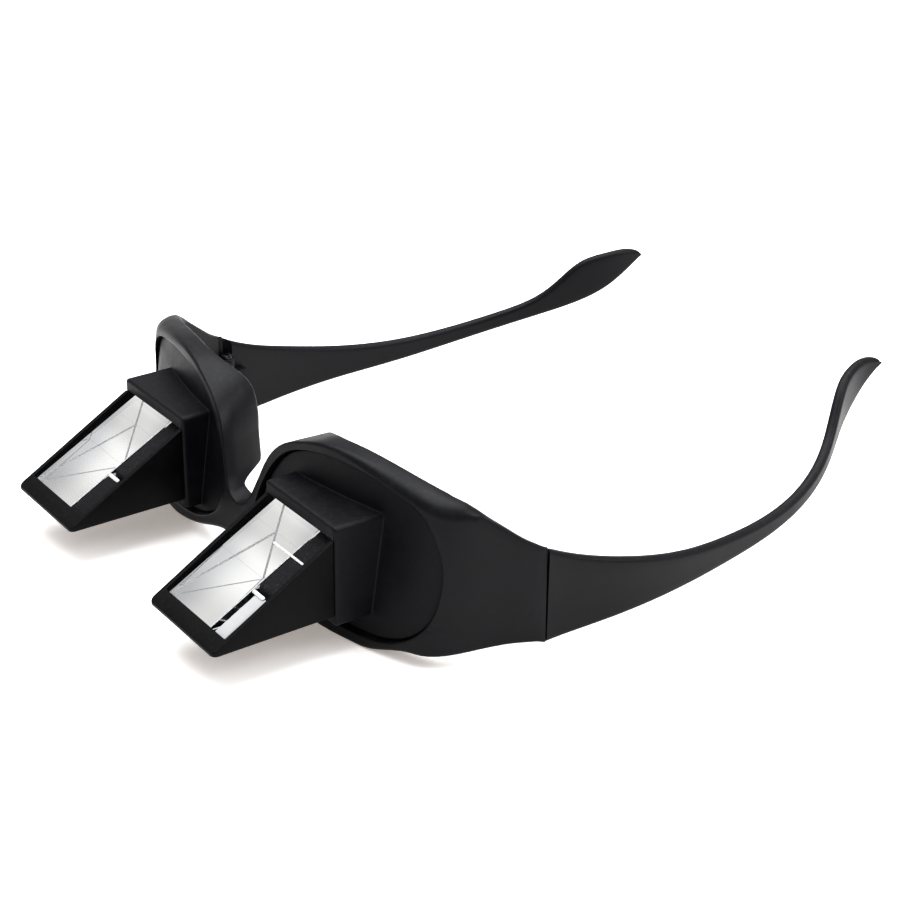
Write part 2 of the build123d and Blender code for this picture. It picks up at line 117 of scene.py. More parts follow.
# %% A smooth curve through points
def smooth_curve(points, count, start=None, end=None, closed=False):
    """Evenly spaced points on the smooth curve through the given ones."""
    p = np.array(points, float)
    if closed:
        p = np.vstack([p, p[:1]])
    knots = np.concatenate([[0.0], np.cumsum(np.linalg.norm(np.diff(p, axis=0), axis=1))])
    gaps = np.diff(knots)
    steps = np.diff(p, axis=0) / gaps[:, None]
    last = len(p) - 1
    weights = np.zeros((last + 1, last + 1))
    pulls = np.zeros_like(p)
    for k in range(1, last):
        weights[k, k - 1 : k + 2] = gaps[k], 2 * (gaps[k - 1] + gaps[k]), gaps[k - 1]
        pulls[k] = 3 * (gaps[k] * steps[k - 1] + gaps[k - 1] * steps[k])
    if closed:
        weights[0, [last - 1, 0, 1]] = gaps[0], 2 * (gaps[-1] + gaps[0]), gaps[-1]
        pulls[0] = 3 * (gaps[0] * steps[-1] + gaps[-1] * steps[0])
        weights[last, [0, last]] = 1, -1
    else:
        for row, neighbour, direction, step in ((0, 1, start, steps[0]), (last, last - 1, end, steps[-1])):
            if direction is None:
                weights[row, [row, neighbour]] = 2, 1
                pulls[row] = 3 * step
            else:
                weights[row, row] = 1
                pulls[row] = np.array(direction, float) / np.linalg.norm(direction)
    slopes = np.linalg.solve(weights, pulls)
    fine = []
    for k in range(last):
        t = np.linspace(0, 1, 40, endpoint=False)[:, None]
        fine.append((1 + 2 * t) * (1 - t) ** 2 * p[k] + t * (1 - t) ** 2 * gaps[k] * slopes[k]
                    + t * t * (3 - 2 * t) * p[k + 1] + t * t * (t - 1) * gaps[k] * slopes[k + 1])
    fine = np.vstack(fine + [p[-1:]])
    length = np.concatenate([[0.0], np.cumsum(np.linalg.norm(np.diff(fine, axis=0), axis=1))])
    marks = np.linspace(0, length[-1], count + 1)[:-1] if closed else np.linspace(0, length[-1], count)
    return np.stack([np.interp(marks, length, fine[:, axis]) for axis in range(fine.shape[1])], axis=1)


def outward(loop):
    """The outward unit normal at each point of a closed loop that runs anticlockwise."""
    along = np.roll(loop, -1, axis=0) - np.roll(loop, 1, axis=0)
    normal = np.stack([along[:, 1], -along[:, 0]], axis=1)
    return normal / np.linalg.norm(normal, axis=1)[:, None]

# %% [markdown]
# ## Skins from rings
# Frame, housings and hoods are all rings: a cross-section that changes as it goes round a plate or a box.
# Most skins are made of rings of points, joined by four-sided faces. Rounded edges are three to five rings
# set close together, so that highlights run along them as they do along a moulded edge.

# %% Join rings of points into a mesh
def skin(name, rings, round_closed=True, across_closed=True):
    """A mesh from rings of points in millimetres; a strip with two ends is closed at both."""
    rings = np.array(rings, float)
    ring_count, station_count = rings.shape[:2]
    faces = []
    for j in range(ring_count if across_closed else ring_count - 1):
        for i in range(station_count if round_closed else station_count - 1):
            a, b = j * station_count, (j + 1) % ring_count * station_count
            n = (i + 1) % station_count
            faces.append((a + i, a + n, b + n, b + i))
    if not round_closed:
        for end in (0, station_count - 1):
            faces.append(tuple(j * station_count + end for j in range(ring_count)))
    return mesh_from(name, rings.reshape(-1, 3) * MM, faces)


def mesh_from(name, points, faces):
    """A tidy object from points in metres and faces."""
    mesh = bpy.data.meshes.new(name)
    mesh.from_pydata([tuple(p) for p in points], [], faces)
    mesh.validate()
    tidy_mesh(mesh)
    return add_object(name, mesh)


def tidy_mesh(mesh):
    """Joins doubled points, drops empty faces, turns all faces outward and shades them smoothly."""
    work = bmesh.new()
    work.from_mesh(mesh)
    bmesh.ops.remove_doubles(work, verts=work.verts, dist=0.000002)
    bmesh.ops.dissolve_degenerate(work, dist=0.000001, edges=work.edges)
    bmesh.ops.delete(work, geom=[v for v in work.verts if not v.link_faces], context="VERTS")
    bmesh.ops.recalc_face_normals(work, faces=work.faces)
    work.to_mesh(mesh)
    work.free()
    shade(mesh)


def shade(mesh, sharp=35.0):
    """Smooth shading, with edges sharper than an angle kept."""
    mesh.shade_smooth()
    mesh.set_sharp_from_angle(angle=radians(sharp))


def copied(obj, name, change):
    """A copy of a piece, moved or mirrored by a matrix."""
    mesh = obj.data.copy()
    mesh.name = name
    mesh.transform(change)
    if change.is_negative:
        mesh.flip_normals()
    return add_object(name, mesh)


def mirror_copy(obj, name):
    """The same piece for the other side of the face."""
    return copied(obj, name, Matrix.Scale(-1, 4, (1, 0, 0)))


def shifted_copy(obj, name):
    """The same piece for the other box."""
    return copied(obj, name, Matrix.Translation((-box_spacing * MM, 0, 0)))


def rounding(*angles):
    """Steps round an edge: the shares of its radius still left along one face and used up along the other."""
    return [(1 - sin(radians(angle)), 1 - cos(radians(angle))) for angle in angles]

# %% [markdown]
# ## The wraparound front
# The front follows a plan curve: a shallow arc before the face, a tight corner and a flank back to the hinge.
# The whole front leans back by eight degrees. A place on it is given by how far it is along the plan curve,
# how high it is and how deep below the outer surface, as if the front were unrolled onto paper.

# %% The plan curve and the unrolled front
arc_end, arc_lean = 58.0, 58.0 / front_radius
arc_x = np.linspace(0, arc_end, 59)
arc = np.stack([arc_x, arc_x ** 2 / (2 * front_radius)], axis=1)
corner = smooth_curve(
    [(arc_end, arc_end ** 2 / (2 * front_radius)), (64.6, 12.2), (67.4, 17.3), (69.3, 25.3), (71.5, 33.5), (72.6, 39.0),
     (72.9, 46.0)], 161, start=(1, arc_lean), end=(0, 1))
plan = np.vstack([arc[:-1], corner])
plan_s = np.concatenate([[0.0], np.cumsum(np.linalg.norm(np.diff(plan, axis=0), axis=1))])
plan_along = np.gradient(plan, plan_s, axis=0)
plan_along /= np.linalg.norm(plan_along, axis=1)[:, None]
print("unrolled length of half the front:", round(plan_s[-1], 1), "mm")


def s_at_x(x):
    """The unrolled place of a distance from the middle."""
    return np.interp(x, plan[:, 0], plan_s)


def s_at_y(y, z):
    """The unrolled place of a distance along the flank, at a height."""
    return np.interp(np.asarray(y) - bridge_y - lean * np.asarray(z), plan[:, 1], plan_s)


def on_front(s, z, depth):
    """Points at an unrolled place, a height and a depth measured square to the surface."""
    s, z, depth = np.broadcast_arrays(np.asarray(s, float), z, depth)
    x, y, ax, ay = (np.interp(s, plan_s, values) for values in (*plan.T, *plan_along.T))
    size = np.hypot(ax, ay)
    return np.stack([x - ay / size * depth, bridge_y + y + lean * z + ax / size * depth, z], axis=-1)


def behind_front(x, z, depth):
    """Points with a given x behind the front surface."""
    x, z, depth = np.broadcast_arrays(np.asarray(x, float), z, depth)
    y = np.interp(x, plan[:, 0], plan[:, 1])
    slope = np.interp(x, plan[:, 0], plan_along[:, 1] / np.maximum(plan_along[:, 0], 0.2))
    return np.stack([x, bridge_y + y + lean * z + depth * np.sqrt(1 + slope ** 2), z], axis=-1)

# %% [markdown]
# ### Outlines of the front
# Two loops bound the frame: the seat in which the curved plate lies and the outer edge, which runs from the
# nose notch over the top to the hinge seam and back along the brow.

# %% The seat and outer loops
plate_loop = smooth_curve([
    (7.9, 19.5), (9.1, 24.0), (11.9, 30.1), (17.3, 36.4), (27.0, 40.1), (40.0, 40.8), (52.2, 38.9), (60.6, 35.1),
    (64.4, 28.0), (65.2, 18.5), (63.4, 10.2), (57.0, 4.7), (44.0, 2.9), (28.0, 4.2), (14.0, 8.2), (8.4, 13.2),
], 400, closed=True)[::-1]
middle_foot_z, middle_top_z, drawn_to_x = 8.3, 17.4, 30
nose_line = [(0, middle_top_z), (1.6, 17.7), (3.3, 18.5), (6.1, 22.6), (8.3, 27.6), (10.7, 32.8), (15.2, 37.8),
             (23.0, 41.4), (29.0, 43.1), (34.5, 43.7)]
top_tail = smooth_curve([(34.5, 43.7), (44.2, 43.0), (53.5, 41.4), (68.5, 38.4)], 60, start=(1, 0), end=(1, -0.2))
top_edge = np.vstack([smooth_curve(nose_line, 200)[:-1], top_tail])
flank_top = smooth_curve([(-21.5, 43.6), (-18.0, 40.3), (-15.6, 38.0), (-12.0, 34.7), (-8.4, 31.7), (-4.7, 28.7),
                          (0.0, 26.0), (6.0, 23.6)], 121)
flank_foot = smooth_curve([(-11.0, 3.3), (4.0, 1.3)], 61, start=(1, 0), end=(1, -0.15))
lift_x, lift_z, rest_x, rest_to_x, seam_face = 62.0, 3.3, 47.5, 37.0, -0.12
brow_lift = smooth_curve([(lift_x, lift_z), (rest_x, 0.0)], 31, start=(-1, 0), end=(-1, 0))
brow = smooth_curve([(rest_to_x, 0.0), (27.0, 1.3), (16.0, 4.4), (5.0, 7.9), (0, middle_foot_z)], 61,
                    start=(-1, 0), end=(-1, 0))


def unroll_front(points):
    """Front-view points as unrolled places."""
    return np.stack([s_at_x(points[:, 0]), points[:, 1]], axis=1)


def unroll_flank(points):
    """Side-view points, measured from the hinge seam, as unrolled places."""
    return np.stack([s_at_y(seam_y + points[:, 0], points[:, 1]), points[:, 1]], axis=1)


top_part, flank_part = unroll_front(top_edge), unroll_flank(flank_top)
cross_over = next(k for k, (s, z) in enumerate(flank_part) if z < np.interp(s, top_part[:, 0], top_part[:, 1]))
top_part = top_part[top_part[:, 0] < flank_part[cross_over, 0] - 1.5]
flank_part = flank_part[(flank_top[:, 0] < seam_face) & (np.arange(len(flank_top)) > cross_over + 3)]
seam_z = np.linspace(np.interp(seam_face, flank_top[:, 0], flank_top[:, 1]),
                     np.interp(seam_face, flank_foot[:, 0], flank_foot[:, 1]), 16)
seam_part = unroll_flank(np.column_stack([np.full(16, seam_face), seam_z]))
foot_part = unroll_flank(flank_foot[flank_foot[:, 0] < seam_face][::-1])
floor_s = np.linspace(foot_part[-1, 0], s_at_x(lift_x), 12)[1:-1]
rest_s = np.linspace(s_at_x(rest_x), s_at_x(rest_to_x), 9)[1:-1]
parts = [
    top_part, flank_part, seam_part, foot_part,
    np.column_stack([floor_s, np.full(10, lift_z)]), unroll_front(brow_lift),
    np.column_stack([rest_s, np.zeros(7)]), unroll_front(brow),
    np.column_stack([np.zeros(9), np.linspace(middle_foot_z, middle_top_z, 11)[1:-1]])]
outer_loop = np.vstack(parts)
part_of = np.repeat(range(9), [len(part) for part in parts])
TOP, FLANK, MIDDLE = 0, 1, 8


def top_at(x, y):
    """The height of the top edge: the lower of its front view and its side view, blended softly."""
    front_view = np.interp(x, top_edge[:, 0], top_edge[:, 1])
    side_view = np.interp(y - seam_y, flank_top[:, 0], flank_top[:, 1], left=70.0)
    before = flank_top[0, 0] - (y - seam_y)
    side_view = np.where(before > 0, flank_top[0, 1] + 1.1 * before, side_view)
    blend = 0.7
    return -blend * np.logaddexp(-front_view / blend, -side_view / blend)


outer_at = on_front(outer_loop[:, 0], outer_loop[:, 1], 0.0)
from_top = ((part_of == TOP) | (part_of == FLANK)) & (outer_at[:, 0] > drawn_to_x)
outer_loop[from_top, 1] = top_at(outer_at[from_top, 0], outer_at[from_top, 1])
print("stations round half the frame:", len(outer_loop))

# %% [markdown]
# ### Edges and walls
# The outer edge is rounded everywhere, but not evenly: most at the outer top corner, little by the nose and
# hardly at the hinge seam, so every station of the outline has a radius of its own. How thick the wall is
# follows from a second plan curve, the inside of the front. It is thickest round the corner and thin along the
# flank.

# %% Rounding of the outer edge and thickness of the wall
centre = np.array([s_at_x(36.0), 21.0])
seat_s = unroll_front(plate_loop)
seat_n = -outward(seat_s)
if np.sum((seat_s - centre) * seat_n) < 0:
    seat_n = -seat_n


def ray_to_loop(points, loop, middle):
    """Where lines from a middle through each point cross a loop round it."""
    angle = np.arctan2(*(loop - middle).T[::-1])
    order = np.argsort(angle)
    wanted = np.arctan2(*(points - middle).T[::-1])
    radius = np.interp(wanted, angle[order], np.hypot(*(loop - middle).T)[order], period=2 * pi)
    return middle + np.stack([np.cos(wanted), np.sin(wanted)], axis=1) * radius[:, None]


def ray_to_seat(points, grow):
    """Where the line from the plate's middle to each point crosses the seat, grown by a distance."""
    return ray_to_loop(points, seat_s + seat_n * grow, centre)


def soft_step(value, low, high):
    """Zero below low, one above high and smooth between."""
    t = np.clip((value - low) / (high - low), 0, 1)
    return t * t * (3 - 2 * t)


inward = -outward(outer_loop)
if np.mean(np.sum((centre - outer_loop) * inward, axis=1)) < 0:
    inward = -inward
inward[part_of == MIDDLE] = 0
inward[0] = (0, -1)
inward[int(np.argmax(part_of == MIDDLE)) - 1] = (0, 1)
on_top = part_of == TOP
edge_round = np.choose(part_of, [1.25, 0.9, 0.2, 0.7, 0.7, 0.8, 0.8, 1.0, 0.0])
edge_round = np.where(on_top, np.interp(outer_loop[:, 0], [20.0, 42.0], [0.45, 1.25]), edge_round)
shoulder = soft_step(outer_at[:, 0], 34.0, 62.0) * (1 - soft_step(outer_at[:, 1] - seam_y, -14.0, -3.0))
edge_round = edge_round + 1.5 * np.where(on_top | (part_of == FLANK), shoulder, 0)

inner_wall = smooth_curve(
    [(70.1, 46.0), (70.1, 39.0), (68.9, 33.5), (66.3, 26.6), (62.6, 18.8), (56.0, 15.0),
     (30.0, 30.0 ** 2 / (2 * front_radius) + 5.6), (0, 5.5)], 700, start=(0, -1), end=(-1, 0))
wall_depth = np.array([np.min(np.hypot(*(inner_wall - point).T)) for point in plan])


def depth_at(s):
    """How thick the wall is at an unrolled place."""
    return np.interp(s, plan_s, wall_depth)


print("outer edge rounded by", edge_round[part_of != MIDDLE].min(), "to", round(edge_round.max(), 2), "mm")

# %% [markdown]
# ### Nose pads
# Beside the notch the wall reaches further back and flares outward, to lie along the nose. How far it does so
# is a share given for every station, so the pads grow out of the rim without a step. Pads could also be pieces
# of their own, but the real ones belong to the moulding.

# %% Nose pads
nose_pad_depth, nose_pad_thickness, nose_pad_flare, pad_start = 13.3, 1.9, tan(radians(28.0)), 1.5
notch_z, pad_corner, pad_fade_z, pad_fade = 17.3, 5.0, 30.0, 13.7
rim_depth = depth_at(outer_loop[:, 0])
top_x = np.interp(outer_loop[:, 0], plan_s, plan[:, 0])
flare_shares = [0, 0.45, 1, 1, 1, 0.9, 0.55, 0.12, 0.02, 0]
flare_share = np.where(on_top, np.interp(top_x, [x for x, z in nose_line], flare_shares), 0)
pad_share = np.where(on_top, soft_step(outer_loop[:, 1], 17.9, 19.6) * (1 - soft_step(outer_loop[:, 0], 14.0, 28.0)), 0)
rise_share = np.clip((outer_loop[:, 1] - notch_z) / pad_corner, 0, 1)
fall_share = np.clip((outer_loop[:, 1] - pad_fade_z) / pad_fade, 0, 1)
low_corner = pad_corner * (1 - np.sqrt(1 - (1 - rise_share) ** 2))
pad_extra = (nose_pad_depth - rim_depth - low_corner) * np.sqrt(1 - fall_share ** 2)
pad_extra = np.where(on_top, pad_extra * (1 - soft_step(top_x, 14.0, 40.0)), 0)
pad_extra = pad_extra * soft_step(outer_loop[:, 1], 18.2, 20.8)
pad_depth = rim_depth + pad_extra


def place(points, depth):
    """Unrolled places put at a depth below the outer surface."""
    return on_front(points[:, 0], points[:, 1], depth)


def seat_place(points, depth):
    """Unrolled places put straight behind the front, as the seat is."""
    return behind_front(np.interp(points[:, 0], plan_s, plan[:, 0]), points[:, 1], depth)


def column(value):
    """Values as a column, so that they multiply whole points."""
    return np.asarray(value, float)[:, None]


def flare_to(depth):
    """How far the pad's wall has moved outward at a depth."""
    return np.stack([nose_pad_flare * np.maximum(depth - pad_start, 0), 0 * depth], axis=1) * column(flare_share)


def pad_wall(share, depth):
    """A place in the pad's thickness, from its inner face at zero to its outer face at one."""
    step = nose_pad_thickness * share * np.array([[1.0, -0.5]])
    return place(outer_loop + flare_to(depth) + step, depth)


def between(rim, pad):
    """A ring that is the plain rim's away from the notch and the pad's beside it."""
    return rim * (1 - column(pad_share)) + pad * column(pad_share)


print("nose pads reach", round(pad_depth.max(), 1), "mm back")

# %% [markdown]
# ### The section of the frame
# At every station the section starts at the ledge behind the plate, comes forward up the seat, crosses the
# front, goes round the outer edge, and returns along the back. Beside the nose notch the outer wall runs on
# backward and flares into the nose pad.

# %% Loft the frame
def follow_top(ring, share=1.0):
    """Lifts a ring along the top, so that the wall follows the slope of the top edge."""
    over = top_at(ring[:, 0], ring[:, 1]) - top_at(outer_at[:, 0], outer_at[:, 1])
    ring[:, 2] += np.where(from_top, over * soft_step(outer_at[:, 0], 34.0, 40.0) * share, 0)


seat_depth, seat_clearance, pad_round = 3.55, 0.15, nose_pad_thickness / 2
ledge_edge = ray_to_seat(outer_loop, -1.4)
seat_edge = ray_to_seat(outer_loop, seat_clearance)
front_from = ray_to_seat(outer_loop, 0.6)
front_to = outer_loop + inward * column(edge_round)
rings = [seat_place(ledge_edge, seat_depth), seat_place(seat_edge, seat_depth), seat_place(seat_edge, 0.45),
         seat_place(ray_to_seat(outer_loop, 0.27), 0.13), seat_place(front_from, 0.0)]
rings += [place(front_from + (front_to - front_from) * share, 0.0) for share in (0.12, 0.3, 0.5, 0.7, 0.88, 1.0)]
front_rings = len(rings)
rings += [place(outer_loop + inward * column(edge_round * left), edge_round * used)
          for left, used in rounding(25, 50, 72, 90)]
back_round = np.minimum(edge_round, 0.9)
for share in (0.35, 0.7, 1.0):
    rim_d = np.maximum(edge_round, (pad_depth - back_round) * share)
    pad_d = np.maximum(edge_round, (pad_depth - pad_round) * share)
    rings.append(between(place(outer_loop + flare_to(rim_d), rim_d), pad_wall(0, pad_d)))
for left, used in rounding(30, 60, 90):
    rim_d = pad_depth - back_round * left
    rim = place(outer_loop + flare_to(rim_d) + inward * column(back_round * used), rim_d)
    rings.append(between(rim, pad_wall(used / 2, pad_depth - pad_round * left)))
for ring in rings[front_rings - 1:]:
    follow_top(ring)
back_from = outer_loop + inward * column(back_round)
back_fix = seat_place(ledge_edge, rim_depth) - place(ledge_edge, rim_depth)
pad_edge, pad_foot = pad_depth - pad_round * 0.7, 4.4
for share in (0.15, 0.4, 0.65, 0.85, 1.0):
    here = back_from + (ledge_edge - back_from) * share
    rim_d = depth_at(here[:, 0]) + pad_extra * (1 - share) ** 2
    rim = place(here + flare_to(rim_d) * (1 - share), rim_d) + back_fix * share ** 2
    rings.append(between(rim, pad_wall(1, pad_edge - (pad_edge - pad_foot) * share)))
    follow_top(rings[-1], 1 - share)
ledge_rim = seat_place(ledge_edge, np.maximum(depth_at(ledge_edge[:, 0]) - 0.6, 3.8))
rings.append(between(ledge_rim, pad_wall(1, 0 * pad_depth + 3.9)))
front_frame_skin = skin("front_frame_skin", rings)
print("faces of half the frame:", len(front_frame_skin.data.polygons))

# %% [markdown]
# ## Temples
# Each temple is a strip as thick as the flank that curves in plan, drops from the hinge and widens into the
# paddle behind the ear. It is lofted from pairs of points, one on its upper and one on its lower edge.

# %% Loft a temple
temple_thickness, temple_round, seam_gap = 2.8, 1.15, 0.12
temple_plan = smooth_curve([
    (71.2, -6.0), (71.3, 0.0), (73.0, 19.0), (73.4, 36.0), (71.6, 57.0), (69.2, 75.0),
    (64.9, 90.0), (59.4, 101.0), (52.6, 112.0), (48.8, 122.0), (48.2, 133.0)], 400)
temple_side = smooth_curve([
    (-4.0, 28.0), (4.0, 23.7), (12.0, 20.4), (21.0, 17.6), (38.0, 13.5), (57.0, 11.4), (75.0, 12.0), (90.0, 14.9),
    (101.0, 19.8), (106.0, 24.8), (112.0, 30.6), (119.0, 32.6), (126.0, 32.6), (temple_reach, 30.8),
    (126.6, 27.8), (119.0, 22.3), (109.0, 17.0), (98.0, 12.6), (86.0, 9.2), (63.0, 5.5), (35.0, 3.6), (15.0, 2.4),
    (-4.0, 1.4)], 1200)
tip_at = int(np.argmax(temple_side[:, 0]))
half, strip_count = temple_thickness / 2, 110


def even(curve, ease=1.35):
    """The part of a curve behind the seam, resampled closer together towards its end."""
    curve = curve[curve[:, 0] > seam_gap]
    length = np.concatenate([[0.0], np.cumsum(np.linalg.norm(np.diff(curve, axis=0), axis=1))])
    marks = length[-1] * (1 - (1 - np.linspace(0, 1, strip_count)) ** ease)
    return np.stack([np.interp(marks, length, curve[:, axis]) for axis in (0, 1)], axis=1)


def edge_inward(curve, side):
    """The unit normal that points into the strip, and straight back from the tip at its blunt end."""
    along = np.gradient(curve, axis=0)
    normal = np.stack([along[:, 1], -along[:, 0]], axis=1) * side
    normal /= np.linalg.norm(normal, axis=1)[:, None]
    blunt = soft_step(np.arange(strip_count), strip_count - 6, strip_count - 1)[:, None]
    normal = normal * (1 - blunt) + np.array([-1.0, 0.0]) * blunt
    normal[0] = (0, -side)
    return normal


upper, lower = even(temple_side[: tip_at + 1]), even(temple_side[tip_at:][::-1])
upper_in, lower_in = edge_inward(upper, 1), edge_inward(lower, -1)
plan_slope = np.gradient(temple_plan, axis=0)
plan_slope /= np.linalg.norm(plan_slope, axis=1)[:, None]


def on_temple(side_points, off):
    """Points of the strip: a side-view place and a distance from its middle plane, outward positive."""
    y, z = side_points[:, 0], side_points[:, 1]
    x, ax, ay = (np.interp(y, temple_plan[:, 1], values) for values in (temple_plan[:, 0], *plan_slope.T))
    return np.stack([x + ay * off, seam_y + np.maximum(y - ax * off, seam_gap), z], axis=1)


def over_edge(edge, edge_in, face, *angles):
    """Rings over one rounded edge, on the outer face (1) or the inner face (-1) of the strip."""
    return [on_temple(edge + edge_in * temple_round * used, face * (half - temple_round * left))
            for left, used in rounding(*angles)]


def across_face(face, *shares):
    """Rings across one face, from the upper edge to the lower one."""
    return [on_temple(upper + (lower - upper) * share, face * half) for share in shares]


temple_rings = [
    *over_edge(upper, upper_in, 1, 90, 65, 40, 18, 0), *over_edge(upper, upper_in, -1, 0, 22, 45, 68, 90),
    *across_face(-1, 0.25, 0.5, 0.75),
    *over_edge(lower, lower_in, -1, 90, 68, 45, 22, 0), *over_edge(lower, lower_in, 1, 0, 18, 40, 65, 90),
    *across_face(1, 0.75, 0.5, 0.25)]
right_temple_skin = skin("right_temple_skin", temple_rings, round_closed=False)
print("temple faces:", len(right_temple_skin.data.polygons))

# %% [markdown]
# ## Cutting pockets
# Beside each hinge the real moulding is hollowed out, so that the round knuckle of the other piece can turn.
# A pocket could be modelled ring by ring, but here a cutter and a Boolean modifier make it, because the cutter
# has exactly the knuckle's round shape. The modifier is applied at once, so only a plain mesh stays.

# %% Pockets round the hinges
hinge = np.array([69.1, seam_y])
knuckle_radius, knuckle_clearance, knuckle_gap, above_all = 2.1, 0.3, 0.2, 31.0
lower_knuckle, upper_knuckle = (6.0, 10.0), (16.8, 20.6)
middle_knuckle = (lower_knuckle[1] + knuckle_gap, upper_knuckle[0] - knuckle_gap)


def round_cutter(z_low, z_high, count=48):
    """An upright round bar at the hinge, to cut with."""
    angles = np.linspace(0, 2 * pi, count, endpoint=False)
    circle = hinge + (knuckle_radius + knuckle_clearance) * np.stack([np.cos(angles), np.sin(angles)], axis=1)
    points = [(*p, z) for z in (z_low, z_high) for p in circle]
    faces = [tuple(range(count)), tuple(range(2 * count - 1, count - 1, -1))]
    faces += [(k, (k + 1) % count, count + (k + 1) % count, count + k) for k in range(count)]
    return mesh_from("cutter", np.array(points) * MM, faces)


def apply_modifiers(obj):
    """Puts what the modifiers make into the piece's own mesh."""
    bpy.context.view_layer.update()
    shaped = bpy.data.meshes.new_from_object(obj.evaluated_get(bpy.context.evaluated_depsgraph_get()))
    obj.modifiers.clear()
    obj.data = shaped
    shaped.name = obj.name


def cut_away(obj, spans):
    """Cuts round pockets between pairs of heights into a piece."""
    cutters = [round_cutter(*span) for span in spans]
    for cutter in cutters:
        step = obj.modifiers.new("pocket", "BOOLEAN")
        step.operation, step.solver, step.object = "DIFFERENCE", "MANIFOLD", cutter
    apply_modifiers(obj)
    for cutter in cutters:
        bpy.data.objects.remove(cutter)
    tidy_mesh(obj.data)


def add_other_half(obj):
    """Opens the flat face in the middle, adds the mirrored half and joins both."""
    work = bmesh.new()
    work.from_mesh(obj.data)
    middle_faces = [face for face in work.faces if all(abs(v.co.x) < 1e-6 for v in face.verts)]
    bmesh.ops.delete(work, geom=middle_faces, context="FACES")
    twin = bmesh.ops.duplicate(work, geom=work.verts[:] + work.edges[:] + work.faces[:])["geom"]
    bmesh.ops.scale(work, vec=(-1, 1, 1), verts=[part for part in twin if isinstance(part, bmesh.types.BMVert)])
    bmesh.ops.reverse_faces(work, faces=[part for part in twin if isinstance(part, bmesh.types.BMFace)])
    work.to_mesh(obj.data)
    work.free()
    tidy_mesh(obj.data)


cut_away(front_frame_skin, [(lower_knuckle[1], upper_knuckle[0]), (upper_knuckle[1], above_all)])
cut_away(right_temple_skin, [(lower_knuckle[0] - knuckle_gap, middle_knuckle[0]), (middle_knuckle[1], above_all)])
left_temple_skin = mirror_copy(right_temple_skin, "left_temple_skin")
add_other_half(front_frame_skin)
print("frame faces with its pockets:", len(front_frame_skin.data.polygons))

# %% [markdown]
# ## Hinge knuckles
# Two knuckles belong to the frame and one, between them, to the temple. Each is a short barrel with a web that
# runs into the moulding. They are made as rings round the pin's bore, where the outer ring follows the barrel
# on one side and the square web on the other, and are joined into the moulding's mesh as real ones are.

# %% Make the knuckles and join them in
web_length, web_from_x, web_to_x, bore_radius, barrel_ease = 5.5, -1.2, 2.1, 0.86, 0.25
tiny, far_off = 1e-6, 99.0


def knuckle(z_low, z_high, side, towards):
    """A barrel with its web; side is the temple's side of the face, towards is the way the web runs."""
    angles = np.linspace(0, 2 * pi, 96, endpoint=False)
    reach = []
    for angle in angles:
        dx, dy = cos(angle), sin(angle) * towards
        to_end = web_length / dy if dy > tiny else far_off
        to_side = (web_to_x if dx > 0 else web_from_x) / dx if abs(dx) > tiny else far_off
        reach.append(max(knuckle_radius, min(to_end, to_side)) if dy > 0 else knuckle_radius)
    reach = np.array(reach)
    part_ease = 0.3 * barrel_ease
    end = [(0 * reach + bore_radius, 0.0), (reach - barrel_ease, 0.0), (reach - part_ease, part_ease),
           (reach, barrel_ease)]
    profile = [(radius, z_low + rise) for radius, rise in end] + [(radius, z_high - rise) for radius, rise in end[::-1]]
    return skin("knuckle", [np.stack([side * (hinge[0] + radius * np.cos(angles)), hinge[1] + radius * np.sin(angles),
                                      0 * radius + z], axis=1) for radius, z in profile])


def join_into(obj, parts):
    """Adds other pieces to a piece's mesh."""
    work = bmesh.new()
    for part in (obj, *parts):
        work.from_mesh(part.data)
    work.to_mesh(obj.data)
    work.free()
    for part in parts:
        bpy.data.objects.remove(part)
    shade(obj.data)


join_into(front_frame_skin, [knuckle(*span, side, -1) for side in (1, -1) for span in (lower_knuckle, upper_knuckle)])
join_into(right_temple_skin, [knuckle(*middle_knuckle, 1, 1)])
join_into(left_temple_skin, [knuckle(*middle_knuckle, -1, 1)])
print("frame faces with its knuckles:", len(front_frame_skin.data.polygons))

# %% [markdown]
# ## Hinge screws
# A small slotted screw is the pin of each hinge. Its head is turned, so it is lathed from a profile, and the
# slot is left open between two half-round lands that stand on the head.

# %% Lathe a hinge screw
screw_foot, head_foot, slot_floor, screw_top = 6.0, 20.6, 21.1, 21.5
shank_radius, head_radius, slot_half = 0.8, 1.5, 0.2


def lathe(name, x, profile, stations=40):
    """A turned piece from pairs of radius and height."""
    angles = np.linspace(0, 2 * pi, stations, endpoint=False)
    return skin(name, [np.stack([x + r * np.cos(angles), hinge[1] + r * np.sin(angles), 0 * angles + z], axis=1)
                       for r, z in profile], across_closed=False)


def screw_land(x, side, count=20):
    """The half-round land on one side of the slot."""
    start = np.arcsin(slot_half / head_radius)
    arc_angles = np.linspace(start, pi - start, count)
    loop = np.stack([head_radius * np.cos(arc_angles), head_radius * np.sin(arc_angles)], axis=1) * (1, side)
    middle = loop.mean(axis=0)
    rings = []
    for share, z in ((0.0, slot_floor), (1.0, slot_floor), (1.0, screw_top - 0.12), (0.97, screw_top - 0.04),
                     (0.92, screw_top), (0.0, screw_top)):
        shaped = middle + (loop - middle) * share
        rings.append(np.column_stack([x + shaped[:, 0], hinge[1] + shaped[:, 1], np.full(count, z)]))
    return skin("land", rings, across_closed=False)


def hinge_screw(name, side):
    """A shank, a head and the two lands beside its slot."""
    x = side * hinge[0]
    body = lathe(name, x, [
        (0.0, screw_foot), (0.55, screw_foot), (shank_radius, screw_foot + 0.25), (shank_radius, head_foot),
        (head_radius - 0.12, head_foot), (head_radius, head_foot + 0.12), (head_radius, slot_floor), (0.0, slot_floor)])
    join_into(body, [screw_land(x, way) for way in (1, -1)])
    return body


